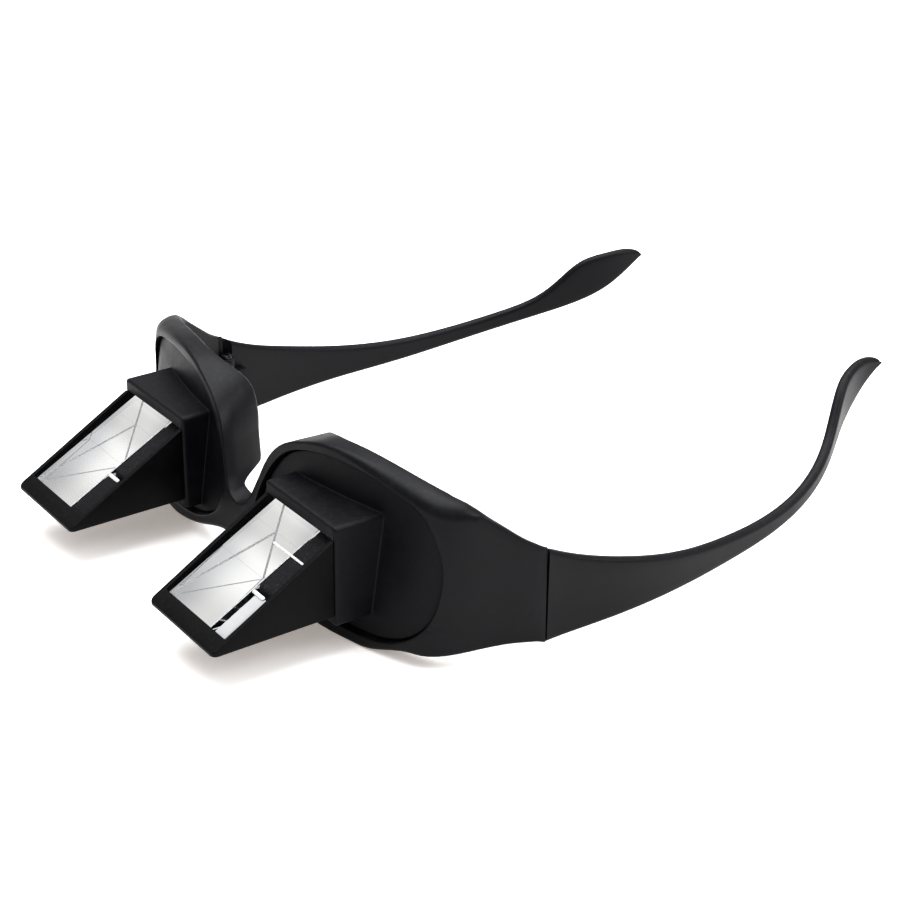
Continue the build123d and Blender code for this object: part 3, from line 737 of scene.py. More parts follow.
right_screw, left_screw = hinge_screw("right_hinge_screw_turned", 1), hinge_screw("left_hinge_screw_turned", -1)
print("screw faces:", len(right_screw.data.polygons))

# %% [markdown]
# ## Square outlines
# Box, hood, glass and foam are all square with rounded corners, so one helper draws their outlines. The others
# put an outline on the curved plate or at a set distance along the temples.

# %% Rounded rectangles on the plate
def rounded_rectangle(middle_x, middle_z, half_x, half_z, radius, per_side=22, per_corner=6):
    """A loop round a rectangle with rounded corners."""
    corners = []
    for quarter, (sx, sz) in enumerate(((1, 1), (-1, 1), (-1, -1), (1, -1))):
        angles = (quarter + np.linspace(0, 1, per_corner)) * pi / 2
        corners.append(np.stack([middle_x + sx * (half_x - radius) + radius * np.cos(angles),
                                 middle_z + sz * (half_z - radius) + radius * np.sin(angles)], axis=1))
    loop = []
    for k, corner_points in enumerate(corners):
        after = corners[(k + 1) % 4][0]
        steps = np.linspace(0, 1, per_side + 2)[1:-1, None]
        loop += [corner_points, corner_points[-1] + (after - corner_points[-1]) * steps]
    return np.vstack(loop)


def plate_y(points, gap):
    """Where the curved sheet lies at places in front view."""
    return bridge_y + np.interp(points[:, 0], plan[:, 0], plan[:, 1]) + lean * points[:, 1] + gap


def at_y(points, y):
    """Front-view places put at a distance along the temples."""
    return np.column_stack([points[:, 0], np.broadcast_to(y, len(points)), points[:, 1]])


def on_plate(points, gap):
    """Front-view places put on the curved sheet."""
    return at_y(points, plate_y(points, gap))

# %% [markdown]
# ## Housings
# Each housing is one moulding: a curved plate that lies in the frame's seat, and a square box that stands out
# of it and holds the hood. Its rings start at the plate's rim, cross the plate, climb the box through a small
# fillet, turn over the lip and go back down inside. Every ring has the same stations as the box has, so the
# box keeps its true corners and the plate its true outline.

# %% Loft a housing
lip_z, hood_floor_z, box_wall, lip_thickness, lip_ease = 29.5, 10.5, 1.1, 1.5, 0.15
box_half, box_half_z, box_middle_z = 14.7, 12.45, 20.15
opening_middle_z, opening_half_z, cavity_middle_z, cavity_half_z = 20.0, 9.5, 21.0, 10.5
plate_front, plate_back, plate_ease, tube_end_y = 1.5, 3.5, 0.3, face_y + 8.0
plate_round, foot_round, lip_round = 0.55, 0.3, 0.85
box_middle = np.array([box_x, box_middle_z])


def box_loop(grow):
    """The box's outline, grown or shrunk."""
    return rounded_rectangle(box_x, box_middle_z, box_half + grow, box_half_z + grow, max(1.0 + grow, 0.12))


plate_edge = ray_to_loop(box_loop(0), plate_loop, box_middle)
to_middle = (box_middle - plate_edge) / np.linalg.norm(box_middle - plate_edge, axis=1)[:, None]
plate_inner, plate_from = plate_edge + to_middle * plate_ease, plate_edge + to_middle * plate_round
plate_to = box_loop(foot_round)
housing_rings = [on_plate(plate_inner, plate_back), on_plate(plate_edge, plate_back - plate_ease),
                 on_plate(plate_edge, plate_front + plate_round)]
housing_rings += [on_plate(plate_edge + to_middle * plate_round * used, plate_front + plate_round * left)
                  for left, used in rounding(22, 45, 68, 90)]
housing_rings += [on_plate(plate_from + (plate_to - plate_from) * share, plate_front)
                  for share in (0.06, 0.2, 0.4, 0.6, 0.8, 0.93, 1.0)]
for left, used in rounding(22, 45, 68, 90):
    here = box_loop(foot_round * left)
    housing_rings.append(at_y(here, plate_y(here, plate_front) - foot_round * used))
wall_foot = plate_y(box_loop(0), plate_front) - foot_round
housing_rings += [at_y(box_loop(0), wall_foot + (face_y + lip_round - wall_foot) * share) for share in (0.5, 0.9, 1.0)]
housing_rings += [at_y(box_loop(-lip_round * used), face_y + lip_round * left)
                  for left, used in rounding(18, 36, 54, 72, 90)]
inner_half = box_half - box_wall
opening = rounded_rectangle(box_x, opening_middle_z, inner_half, opening_half_z, 0.3)
opening_edge = rounded_rectangle(box_x, opening_middle_z, inner_half + lip_ease, opening_half_z + lip_ease, 0.4)
cavity = rounded_rectangle(box_x, cavity_middle_z, inner_half, cavity_half_z, 0.3)
housing_rings += [at_y(opening_edge, face_y), at_y(opening, face_y + 0.2), at_y(opening, face_y + lip_thickness),
                  at_y(cavity, face_y + lip_thickness)]
housing_rings += [at_y(loop, np.maximum(plate_y(loop, plate_back), tube_end_y)) for loop in (cavity, box_loop(0))]
housing_rings += [on_plate(box_loop(0) + (plate_inner - box_loop(0)) * share, plate_back) for share in (0.0, 0.5)]
right_housing_skin = skin("right_housing_skin", housing_rings)
left_housing_skin = mirror_copy(right_housing_skin, "left_housing_skin")
print("housing faces:", len(right_housing_skin.data.polygons))

# %% [markdown]
# ## Hoods
# A hood is a wedge-shaped tray that plugs into the box. Its walls are flat, so it is drawn with few corners:
# ten places round the tray, each with an outer and an inner wall. Bevels then round the corners of the tip
# generously and all other edges a little, which is how such a tray comes out of its mould.

# %% Build a hood
tip_y, tip_z, shoulder_y, spigot_end_y = face_y - hood_reach, 11.3, face_y - 0.15, face_y + 5.5
rail_y, bed_z, spigot_top = tip_y + 3.8, 11.7, lip_z - 0.1
tip_round, edge_ease = 1.4, 0.32
window_rise = (lip_z - tip_z) / hood_reach
hood_places = [
    # outer x, inner x, outer y, inner y
    (13.5, 12.8, spigot_end_y, spigot_end_y), (13.5, 12.8, face_y, face_y), (13.5, 12.8, shoulder_y, shoulder_y),
    (14.35, 13.1, shoulder_y, shoulder_y), (14.35, 13.1, tip_y, rail_y)]


def sloping_window(y):
    """The height of the hood's rim."""
    return tip_z + (y - tip_y) * window_rise


def hood_top(y):
    """The rim's height, which levels off where the hood enters the box."""
    return sloping_window(y) if y <= shoulder_y else sloping_window(shoulder_y) if y < face_y else spigot_top


def build_hood(name):
    """Ten places round the tray, each with an outer and an inner wall, closed and bevelled."""
    places = [(1, *p) for p in hood_places] + [(-1, *p) for p in reversed(hood_places)]
    work = bmesh.new()

    def row(x_at, y_at, height):
        """One row of corners round the tray."""
        return [work.verts.new(((box_x + p[0] * p[x_at]) * MM, p[y_at] * MM, height(p[y_at]) * MM)) for p in places]

    outer_low, outer_top = row(1, 3, lambda y: hood_floor_z), row(1, 3, hood_top)
    inner_top, inner_low = row(2, 4, hood_top), row(2, 4, lambda y: bed_z)
    rows = (outer_low, outer_top, inner_top, inner_low)
    for k in range(len(places) - 1):
        for low, high in zip(rows, rows[1:]):
            work.faces.new((low[k], low[k + 1], high[k + 1], high[k]))
    work.faces.new(outer_low)
    work.faces.new(inner_low)
    work.faces.new([row_of[0] for row_of in rows] + [row_of[-1] for row_of in reversed(rows)])
    bmesh.ops.recalc_face_normals(work, faces=work.faces)
    tips = [e for e in work.edges if set(e.verts) in ({outer_low[4], outer_top[4]}, {outer_low[5], outer_top[5]})]
    bmesh.ops.bevel(work, geom=tips, offset=tip_round * MM, segments=6, profile=0.5, affect="EDGES")
    edges = [e for e in work.edges if len(e.link_faces) == 2 and e.calc_face_angle(0) > radians(28)]
    bmesh.ops.bevel(work, geom=edges, offset=edge_ease * MM, segments=3, profile=0.5, affect="EDGES",
                    clamp_overlap=True)
    mesh = bpy.data.meshes.new(name)
    work.to_mesh(mesh)
    work.free()
    shade(mesh, 30.0)
    return add_object(name, mesh)


right_hood_skin = build_hood("right_hood_skin")
left_hood_skin = shifted_copy(right_hood_skin, "left_hood_skin")
print("hood faces:", len(right_hood_skin.data.polygons))

# %% [markdown]
# ## Glass wedges
# The wedge is real glass, so it needs true flat faces, sharp corners and nothing touching it: light must meet
# glass, then air, then the silver. Every corner of an optical wedge is ground to a narrow matt flat, and these
# flats are what one sees inside the glass as crossing lines, many times mirrored. So the edges are bevelled,
# and the bevels get a ground finish of their own.

# %% Cut a wedge of glass
prism_x, prism_width, prism_tip_y = box_x - 12.7, 18.6, rail_y + 0.1
prism_to_x, prism_floor_z, mirror_gap = prism_x + prism_width, bed_z + 0.3, 0.03
glass_tip_z = sloping_window(prism_tip_y) - 0.98
glass_rise = (lip_z - 2.13 - glass_tip_z) / (face_y - prism_tip_y)
flat_width, wide_flat, thin_flat, tip_flat, near_edge = 0.2, 0.42, 0.03, 0.04, 0.5
GROUND, EYE_FACE = 1, 2


def glass_z(y):
    """The height of the sloping glass face."""
    return glass_tip_z + (y - prism_tip_y) * glass_rise


def ground_width(middle):
    """Wider flats on the long lower edge and the upright one, narrow ones elsewhere."""
    low, far = middle.z < prism_floor_z + near_edge, middle.x < prism_x + near_edge
    back, across = middle.y > spigot_end_y - near_edge, abs(middle.x - prism_x - prism_width / 2) < near_edge
    if middle.y < prism_tip_y + near_edge:
        return tip_flat
    if far and (low or back):
        return wide_flat
    return thin_flat if back and across else flat_width


def add_slots(mesh, count):
    """Empty places for finishes, which are filled when the piece is seated."""
    for _ in range(count):
        mesh.materials.append(None)


def cut_wedge(name):
    """A wedge whose edges are ground to flats."""
    work = bmesh.new()
    section = [(prism_tip_y, prism_floor_z), (prism_tip_y, glass_z(prism_tip_y)), (spigot_end_y, glass_z(spigot_end_y)),
               (spigot_end_y, prism_floor_z)]
    near, far = [[work.verts.new((x * MM, y * MM, z * MM)) for y, z in section] for x in (prism_x, prism_to_x)]
    work.faces.new(near)
    work.faces.new(far)
    for k in range(4):
        work.faces.new((near[k], near[(k + 1) % 4], far[(k + 1) % 4], far[k]))
    bmesh.ops.recalc_face_normals(work, faces=work.faces)
    layer = work.edges.layers.float.new("bevel_weight_edge")
    for edge in work.edges:
        edge[layer] = ground_width((edge.verts[0].co + edge.verts[1].co) / 2 / MM)
    mesh = bpy.data.meshes.new(name)
    work.to_mesh(mesh)
    work.free()
    add_slots(mesh, 3)
    wedge = add_object(name, mesh)
    flats = wedge.modifiers.new("ground_flats", "BEVEL")
    flats.limit_method, flats.width, flats.segments, flats.material = "WEIGHT", 1.0 * MM, 1, GROUND
    flats.harden_normals = False
    apply_modifiers(wedge)
    for face in wedge.data.polygons:
        if face.normal.y > 0.99:
            face.material_index = EYE_FACE
    return wedge


right_prism_skin = cut_wedge("right_prism_glass")
left_prism_skin = shifted_copy(right_prism_skin, "left_prism_glass")
print("glass faces:", len(right_prism_skin.data.polygons),
      "- ground flats:", sum(face.material_index == GROUND for face in right_prism_skin.data.polygons))

# %% [markdown]
# ## Mirror coats
# The floor of the wedge is silvered. The coat is a thin sheet just below the glass, bright above and painted
# with a dull lacquer below, as mirror makers do to protect the silver.

# %% Silvered sheets
def silvered_sheet(name, z_low, z_high, edge=0.08, middle_inset=4.0):
    """A thin sheet below the glass with softened edges, from rings round its outline."""
    middle = ((prism_x + prism_to_x) / 2, (prism_tip_y + spigot_end_y) / 2)
    half_x, half_y = (prism_to_x - prism_x) / 2, (spigot_end_y - prism_tip_y) / 2
    rings = []
    for inset, z in ((middle_inset, z_low), (edge, z_low), (0.0, z_low + edge), (0.0, z_high - edge), (edge, z_high),
                     (middle_inset, z_high)):
        loop = rounded_rectangle(*middle, half_x - inset, half_y - inset, 0.3, 6, 4)
        rings.append(np.column_stack([loop, np.full(len(loop), z)]))
    below, above = (np.tile(ring.mean(axis=0), (len(ring), 1)) for ring in (rings[0], rings[-1]))
    return skin(name, [below, *rings, above], across_closed=False)


right_mirror_skin = silvered_sheet("right_mirror_sheet", bed_z + 0.02, prism_floor_z - mirror_gap)
add_slots(right_mirror_skin.data, 2)
for face in right_mirror_skin.data.polygons:
    face.material_index = 1 if face.center.z < (bed_z + 0.15) * MM else 0
left_mirror_skin = shifted_copy(right_mirror_skin, "left_mirror_sheet")
print("mirror faces:", len(right_mirror_skin.data.polygons))

# %% [markdown]
# ## Spacers beside the glass
# Two strips fill the hood beside the glass: a dark speckled foam strip near the box, and one near the tip that
# is pale in the right hood and dark in the left. They are soft, hand-cut pieces, so their tops are slightly
# crowned and uneven and their edges are soft. The unevenness comes from a smooth noise of the place itself, so
# that it is the same on every run.

# %% Foam strips
spacer_end_x, split_y = box_x + 12.7, face_y - 15.1
foam_gap, pale_gap, pale_margin, split_half, crown_drop = 0.15, 1.6, 0.9, 0.6, 0.12


def foam_strip(name, x_from, x_to, y_from, y_to, uneven, seed):
    """A strip of foam whose top follows the slope of the glass."""
    middle = np.array([(x_from + x_to) / 2, (y_from + y_to) / 2])
    half_x, half_y = (x_to - x_from) / 2, (y_to - y_from) / 2

    def ring(inset, height):
        """A ring round the strip, whose height follows from the glass at each of its places."""
        loop = rounded_rectangle(*middle, half_x - inset, half_y - inset, max(0.6 - inset, 0.15), 26, 4)
        return np.column_stack([loop, height(glass_z(loop[:, 1]))])

    def spine(ring_points, height):
        """The same ring drawn together to a line along the middle."""
        line = middle + (ring_points[:, :2] - middle) * (0.0, 1.0)
        return np.column_stack([line, height(glass_z(line[:, 1]))])

    sides = [ring(0.06, lambda top: 0 * top + bed_z + 0.02), ring(0.0, lambda top: 0 * top + bed_z + 0.12),
             ring(0.0, lambda top: (top + bed_z) / 2)]
    crown = [ring(inset, lambda top: top - crown_drop - drop)
             for inset, drop in ((0.0, 0.45), (0.13, 0.13), (0.45, 0.0), (1.2, -0.06), (2.2, -0.1))]
    crown.append(spine(crown[-1], lambda top: top - 0.02))
    for points in crown:
        points[:, 2] += [uneven * (noise.noise(Vector((x * 0.9, y * 0.9, seed))) - 0.35) for x, y, z in points]
    foot = spine(sides[0], lambda top: 0 * top + bed_z + 0.02)
    return skin(name, [foot, *sides, *crown], across_closed=False)


right_upper_foam = foam_strip("right_upper_foam", prism_to_x + foam_gap, spacer_end_x, split_y + split_half,
                              spigot_end_y, 0.22, 1.0)
right_lower_foam = foam_strip("right_lower_foam", prism_to_x + pale_gap, spacer_end_x - pale_margin, prism_tip_y,
                              split_y - split_half, 0.1, 5.0)
left_upper_foam = shifted_copy(right_upper_foam, "left_upper_foam")
left_lower_foam = foam_strip("left_lower_foam", prism_to_x + foam_gap - box_spacing, spacer_end_x - box_spacing,
                             prism_tip_y, split_y - split_half, 0.1, 5.0)
print("foam faces:", len(right_upper_foam.data.polygons))

# %% [markdown]
# ## Glue dabs
# Thin white dabs tie the glass to its spacers. A dab of glue is a low bead with an uneven edge and round ends.
# It is lofted along its length from low arches, whose width wavers a little.

# %% Beads of glue
long_dab_y, short_dab_y, dab_margin, dab_end, dab_shape = face_y - 6.0, face_y - 16.1, 1.6, 0.45, 0.72


def glue_bead(name, y, length, seed, bead_half):
    """A low bead across the slope."""
    base, rings = glass_z(y) + 0.01, []
    for share in (1 - np.cos(np.linspace(0, pi, 36))) / 2:
        end = min(share, 1 - share) * length
        fullness = sqrt(max(1 - (1 - min(end / dab_end, 1)) ** 2, 0.0001))
        waver = 1 + 0.16 * noise.noise(Vector((share * length * 0.8, seed, 0)))
        half_width, height = bead_half * fullness * waver, dab_shape * bead_half * fullness
        arch = [(half_width * cos(a), height * sin(a)) for a in np.linspace(0, pi, 13)]
        arch += [(half_width * k, 0.0) for k in (-0.5, 0.0, 0.5)]
        x = spacer_end_x - dab_margin - length * (1 - share)
        rings.append([(x, y + u, base + u * glass_rise + v) for u, v in arch])
    return skin(name, rings, across_closed=False)


right_glue = glue_bead("right_glue_beads", long_dab_y, 12.6, 2.0, 0.24)
join_into(right_glue, [glue_bead("bead", short_dab_y, 4.8, 7.0, 0.4)])
bead_shape = glue_bead("bead", short_dab_y, 4.8, 9.0, 0.4)
left_glue = shifted_copy(bead_shape, "left_glue_bead")
bpy.data.objects.remove(bead_shape)
print("glue faces:", len(right_glue.data.polygons))

# %% [markdown]
# ## Bezels
# A square ring closes each box on the eye side and keeps the glass in. Its section is a small rounded
# rectangle, so its rings run round the opening.

# %% Loft a bezel
bezel_y, bezel_depth, bezel_border, bezel_round, bezel_bevel = spigot_end_y + 0.1, 1.8, 2.3, 0.3, 0.09
bezel_section = [
    # growth of the outline, depth
    (-bezel_round, 0), (-bezel_bevel, bezel_bevel), (0, bezel_round), (0, bezel_depth - bezel_round),
    (-bezel_bevel, bezel_depth - bezel_bevel), (-bezel_round, bezel_depth), (-bezel_border + 0.55, bezel_depth),
    (-bezel_border + 0.12, bezel_depth - 0.14), (-bezel_border, bezel_depth - 0.6), (-bezel_border, bezel_round),
    (-bezel_border + bezel_bevel, bezel_bevel), (-bezel_border + bezel_round, 0)]


def bezel_loop(grow):
    """The bezel's outline, grown or shrunk."""
    return rounded_rectangle(box_x, cavity_middle_z, 13.5 + grow, 10.4 + grow, 0.6 if grow > -1 else 0.9)


right_bezel_skin = skin("right_bezel_skin", [at_y(bezel_loop(grow), bezel_y + depth) for grow, depth in bezel_section])
left_bezel_skin = shifted_copy(right_bezel_skin, "left_bezel_skin")
print("bezel faces:", len(right_bezel_skin.data.polygons))

# %% [markdown]
# ## Finishes
# Moulded plastic is never one flat colour: it has a fine grain from the mould, faint clouds, and grey dust on
# its upward faces. Each of these effects is a node group, built once and placed in every material that needs
# it, with its own colours and sizes. Sizes are in millimetres.

# %% Helpers for nodes and node groups
def set_inputs(tree, node, values):
    """Sets or links a node's inputs; _ in a name stands for a space, i with a number for an input by its place."""
    for key, value in values.items():
        socket = node.inputs[int(key[1:]) if key[0] == "i" and key[1:].isdigit() else key.replace("_", " ")]
        if hasattr(value, "links"):
            tree.links.new(value, socket)
        else:
            socket.default_value = (*value, 1) if socket.type == "RGBA" else value
    return node


def add_node(tree, kind, settings=None, **values):
    """A shader node with its settings and inputs."""
    node = tree.nodes.new("ShaderNode" + kind)
    for key, value in (settings or {}).items():
        setattr(node, key, value)
    return set_inputs(tree, node, values)


def socket_kind(is_colour):
    """The name of a group's kind of socket."""
    return "NodeSocketColor" if is_colour else "NodeSocketFloat"


def new_group(name, **inputs):
    """An empty node group with named inputs, and the sockets at which they arrive in it."""
    group = bpy.data.node_groups.new(name, "ShaderNodeTree")
    for key, value in inputs.items():
        is_colour = isinstance(value, tuple)
        socket = group.interface.new_socket(
            name=key.replace("_", " "), in_out="INPUT", socket_type=socket_kind(is_colour))
        socket.default_value = (*value, 1) if is_colour else value
    return group, group.nodes.new("NodeGroupInput").outputs


def close_group(group, **results):
    """Gives a group its named outputs."""
    for key, result in results.items():
        group.interface.new_socket(
            name=key.replace("_", " "), in_out="OUTPUT", socket_type=socket_kind(result.type == "RGBA"))
    set_inputs(group, group.nodes.new("NodeGroupOutput"), results)


def place_group(tree, group, **values):
    """The outputs of a group that is placed in a tree."""
    return add_node(tree, "Group", {"node_tree": group}, **values).outputs


def math_node(tree, operation, *values):
    """The result of a sum, product or the like."""
    inputs = {f"i{k}": value for k, value in enumerate(values)}
    return add_node(tree, "Math", {"operation": operation}, **inputs).outputs[0]


def soft_mask(tree, value, low, high, low_to=0.0, high_to=1.0):
    """A range of values turned smoothly into another."""
    return add_node(tree, "MapRange", {"interpolation_type": "SMOOTHSTEP"}, Value=value, From_Min=low, From_Max=high,
                    To_Min=low_to, To_Max=high_to).outputs[0]


def mix_colours(tree, share, first, second, blend="MIX"):
    """Two colours mixed."""
    return add_node(tree, "Mix", {"data_type": "RGBA", "blend_type": blend}, i0=share, i6=first, i7=second).outputs[2]


def millimetre_places(tree):
    """The place on the piece in millimetres."""
    places = tree.nodes.new("ShaderNodeTexCoord").outputs["Object"]
    return add_node(tree, "VectorMath", {"operation": "SCALE"}, i0=places, Scale=1000.0).outputs[0]


def millimetre_noise(tree, size, detail=3.0, roughness=0.5):
    """Soft patches whose size is given in millimetres."""
    return add_node(tree, "TexNoise", Vector=millimetre_places(tree), Scale=math_node(tree, "DIVIDE", 1.0, size),
                    Detail=detail, Roughness=roughness).outputs[0]

# %% [markdown]
# ### Grain and clouds
# The mould leaves a fine grain and the plastic cools a little unevenly, so its black is faintly clouded. Grain
# could be carved into the mesh, but a bump of a few hundredths of a millimetre does the same for the light.

# %% Grain and clouds of moulded plastic
moulded_grain, given = new_group("moulded_grain", Colour=(0.01, 0.01, 0.012), Cloud_Colour=(0.02, 0.02, 0.022),
                                 Cloud_Size=9.0, Grain_Size=0.35, Roughness=0.45, Roughness_Spread=0.1)
cloud_mask = soft_mask(moulded_grain, millimetre_noise(moulded_grain, given["Cloud Size"], 4.0, 0.6), 0.35, 0.7)
close_group(
    moulded_grain, Colour=mix_colours(moulded_grain, cloud_mask, given["Colour"], given["Cloud Colour"]),
    Roughness=math_node(moulded_grain, "MULTIPLY_ADD", cloud_mask, given["Roughness Spread"], given["Roughness"]),
    Height=millimetre_noise(moulded_grain, given["Grain Size"], 2.0))
print("grain inputs:", [socket.name for socket in given if socket.name])

# %% [markdown]
# ### Dust
# A little grey dust lies on every face that looks upward. It follows the face's own direction and comes in
# specks, so that it is thickest on the level faces and absent from the sides.

# %% Dust that settles on upward faces
settled_dust, given = new_group("settled_dust", Colour=(0.02, 0.02, 0.02), Dust_Colour=(0.25, 0.25, 0.26), Amount=0.05,
                                Speck_Size=1.2)
facing = add_node(settled_dust, "SeparateXYZ", Vector=settled_dust.nodes.new("ShaderNodeNewGeometry").outputs["Normal"])
upward_mask = soft_mask(settled_dust, facing.outputs["Z"], 0.1, 1.0)
speck_mask = soft_mask(settled_dust, millimetre_noise(settled_dust, given["Speck Size"], 6.0, 0.75), 0.45, 0.75)
dust_mask = math_node(
    settled_dust, "MULTIPLY", math_node(settled_dust, "MULTIPLY", upward_mask, speck_mask), given["Amount"])
close_group(settled_dust, Colour=mix_colours(settled_dust, dust_mask, given["Colour"], given["Dust Colour"]),
            Dust_Mask=dust_mask)
print("node groups:", [group.name for group in bpy.data.node_groups])

# %% [markdown]
# ### Satin plastic
# Frame, housings, hoods and temples are black plastic with a satin skin. In the photograph it is near black in
# shade and lifts to a soft grey only where it faces the light, so its own colour is very dark and faintly blue,
# and most of what shows is its gloss. Each moulding gets its own small differences.

# %% Satin plastics
def new_material(name, **values):
    """A material, its node tree and its shader with the given inputs."""
    material = bpy.data.materials.new(name)
    material.use_nodes = True
    tree = material.node_tree
    return material, tree, set_inputs(tree, tree.nodes["Principled BSDF"], values)


def add_bump(tree, shader, strength, depth, height):
    """Relief that only the light feels, with its depth in millimetres."""
    bump = add_node(tree, "Bump", Strength=strength, Distance=depth * MM, Height=height)
    set_inputs(tree, shader, {"Normal": bump.outputs["Normal"]})


def satin_plastic(name, colour, cloud_colour, cloud_size, roughness, depth, dust, gloss):
    """Plastic with its grain, its clouds and some dust."""
    material, tree, shader = new_material(name, Specular_IOR_Level=gloss)
    grain = place_group(tree, moulded_grain, Colour=colour, Cloud_Colour=cloud_colour, Cloud_Size=cloud_size,
                        Roughness=roughness)
    dusted = place_group(tree, settled_dust, Colour=grain["Colour"], Amount=dust)
    set_inputs(tree, shader, {"Base Color": dusted["Colour"], "Roughness": grain["Roughness"]})
    add_bump(tree, shader, 0.35, depth, grain["Height"])
    return material


satin_black, temple_black, plate_black, hood_black, bezel_black = (satin_plastic(*values) for values in (
    # name, colour, cloud colour, cloud size, roughness, grain depth, dust, gloss
    ("satin_black", (0.0027, 0.0028, 0.0038), (0.0044, 0.0045, 0.0060), 11.0, 0.38, 0.05, 0.03, 0.15),
    ("temple_black", (0.0025, 0.0026, 0.0036), (0.0040, 0.0041, 0.0054), 14.0, 0.40, 0.05, 0.03, 0.15),
    ("plate_black", (0.0035, 0.0036, 0.0049), (0.0054, 0.0054, 0.0072), 8.0, 0.44, 0.06, 0.03, 0.12),
    ("hood_black", (0.0016, 0.0016, 0.0020), (0.0026, 0.0026, 0.0031), 6.0, 0.42, 0.06, 0.02, 0.09),
    ("bezel_black", (0.0020, 0.0020, 0.0024), (0.0032, 0.0032, 0.0036), 5.0, 0.55, 0.06, 0.03, 0.15)))
print("plastics:", [material.name for material in bpy.data.materials])

# %% [markdown]
# ### Glass, ground flats and silver
# The polished faces are clear glass without any haze. The ground flats are drawn as a rough pale grey with a
# painted glow of its own, standing in for the light from inside the glass that makes them glow. The silver is a
# bright metal with a few dull spots, and its back is grey lacquer.
#
# In use, light comes in through the face on the eye side. Here that face looks into a dark box, so seen from
# inside the glass it gives a softly graded painted light instead, brighter higher up and dimmer across the box;
# seen from outside it is plain glass.

# %% Glass and silver
drifting_value, given = new_group("drifting_value", Low=0.3, High=0.6, Size=1.0)
drift = add_node(drifting_value, "MapRange", Value=millimetre_noise(drifting_value, given["Size"]), From_Min=0.3,
                 From_Max=0.7, To_Min=given["Low"], To_Max=given["High"])
close_group(drifting_value, Value=drift.outputs[0])

drifting_colour, given = new_group("drifting_colour", First=(0.1, 0.1, 0.1), Second=(0.2, 0.2, 0.2), Size=1.0)
drift_mask = soft_mask(drifting_colour, millimetre_noise(drifting_colour, given["Size"]), 0.4, 0.65)
close_group(drifting_colour, Colour=mix_colours(drifting_colour, drift_mask, given["First"], given["Second"]))


def drifting_roughness(tree, shader, low, high, size):
    """A roughness that drifts over the surface."""
    set_inputs(tree, shader, {"Roughness": place_group(tree, drifting_value, Low=low, High=high, Size=size)["Value"]})


def drifting_material(name, first, second, size, rough=None, **values):
    """A material whose colour drifts over the surface, and its roughness too if low, high and size are given."""
    material, tree, shader = new_material(name, **values)
    colour = place_group(tree, drifting_colour, First=first, Second=second, Size=size)["Colour"]
    set_inputs(tree, shader, {"Base Color": colour})
    if rough:
        drifting_roughness(tree, shader, *rough)
    return material, tree, shader


clear = {"Transmission_Weight": 1.0, "IOR": 1.52, "Roughness": 0.0}
polished_glass = drifting_material("polished_glass", (0.93, 0.95, 0.945), (0.96, 0.97, 0.965), 7.0, **clear)[0]

eye_face_glass, tree, shader = drifting_material(
    "eye_face_glass", (0.93, 0.94, 0.935), (0.96, 0.965, 0.96), 7.0, **clear)
places = add_node(tree, "SeparateXYZ", Vector=millimetre_places(tree)).outputs
# Painted light: seen from inside, the eye face glows, brighter higher up and dimmer across the box.
light_low, light_high, dim_from_x, dim_to_x = 16.0, 27.0, prism_x + 4.0, prism_x + 18.0
height_light = soft_mask(tree, places["Z"], light_low, light_high, 0.9, 1.25)
in_box = math_node(tree, "WRAP", places["X"], box_spacing, 0.0)
across_share = soft_mask(tree, in_box, dim_from_x, dim_to_x)
painted_light_tint = mix_colours(tree, across_share, (0.68, 0.675, 0.665), (0.43, 0.43, 0.44))
grey = add_node(tree, "CombineXYZ", X=height_light, Y=height_light, Z=height_light).outputs[0]
inner_light = add_node(
    tree, "BsdfPrincipled", Base_Color=(0, 0, 0), Roughness=1.0, Specular_IOR_Level=0.0, Emission_Strength=1.0,
    Emission_Color=mix_colours(tree, 1.0, painted_light_tint, grey, "MULTIPLY"))
from_inside = tree.nodes.new("ShaderNodeNewGeometry").outputs["Backfacing"]
both_sides = add_node(tree, "MixShader", i0=from_inside, i1=shader.outputs[0], i2=inner_light.outputs[0])
set_inputs(tree, tree.nodes["Material Output"], {"Surface": both_sides.outputs[0]})

# Painted glow: the ground flats give a little light of their own, standing in for light scattered inside the glass.
ground_glass, tree, shader = drifting_material(
    "ground_glass", (0.3, 0.3, 0.31), (0.5, 0.5, 0.51), 0.5, (0.5, 0.75, 0.6),
    Emission_Color=(0.18, 0.18, 0.187), Emission_Strength=1.0)
add_bump(tree, shader, 0.4, 0.03, add_node(tree, "TexNoise", Vector=millimetre_places(tree), Scale=6.0).outputs[0])

silver_coat = drifting_material(
    "silver_coat", (0.9, 0.905, 0.91), (0.84, 0.85, 0.86), 4.0, (0.01, 0.06, 3.0), Metallic=1.0)[0]
mirror_lacquer = drifting_material("mirror_lacquer", (0.09, 0.09, 0.095), (0.13, 0.13, 0.14), 1.5, (0.4, 0.6, 1.0))[0]
print("glass and silver:", polished_glass.name, eye_face_glass.name, ground_glass.name, silver_coat.name)

# %% [markdown]
# ### Foam, glue and steel
# The speckled foam is near black with pale flecks, the dark foam has hardly any, and the light foam is a pale
# grey with small pores. The glue is a soft white with a slight gloss. The screws are blackened steel with
# turning marks round their heads.

# %% Foam, glue and steel
foam_cells, given = new_group("foam_cells", Colour=(0.1, 0.1, 0.1), Fleck_Colour=(0.4, 0.4, 0.4), Cell_Size=0.5,
                              Fleck_Share=0.3)
cell_scale = math_node(foam_cells, "DIVIDE", 1.0, given["Cell Size"])
cells = add_node(foam_cells, "TexVoronoi", Vector=millimetre_places(foam_cells), Scale=cell_scale)
fleck_from = math_node(foam_cells, "SUBTRACT", 0.72, given["Fleck Share"])
fleck_mask = soft_mask(foam_cells, millimetre_noise(foam_cells, given["Cell Size"], 5.0, 0.7), fleck_from, 0.78)
close_group(foam_cells, Colour=mix_colours(foam_cells, fleck_mask, given["Colour"], given["Fleck Colour"]),
            Height=cells.outputs["Distance"])


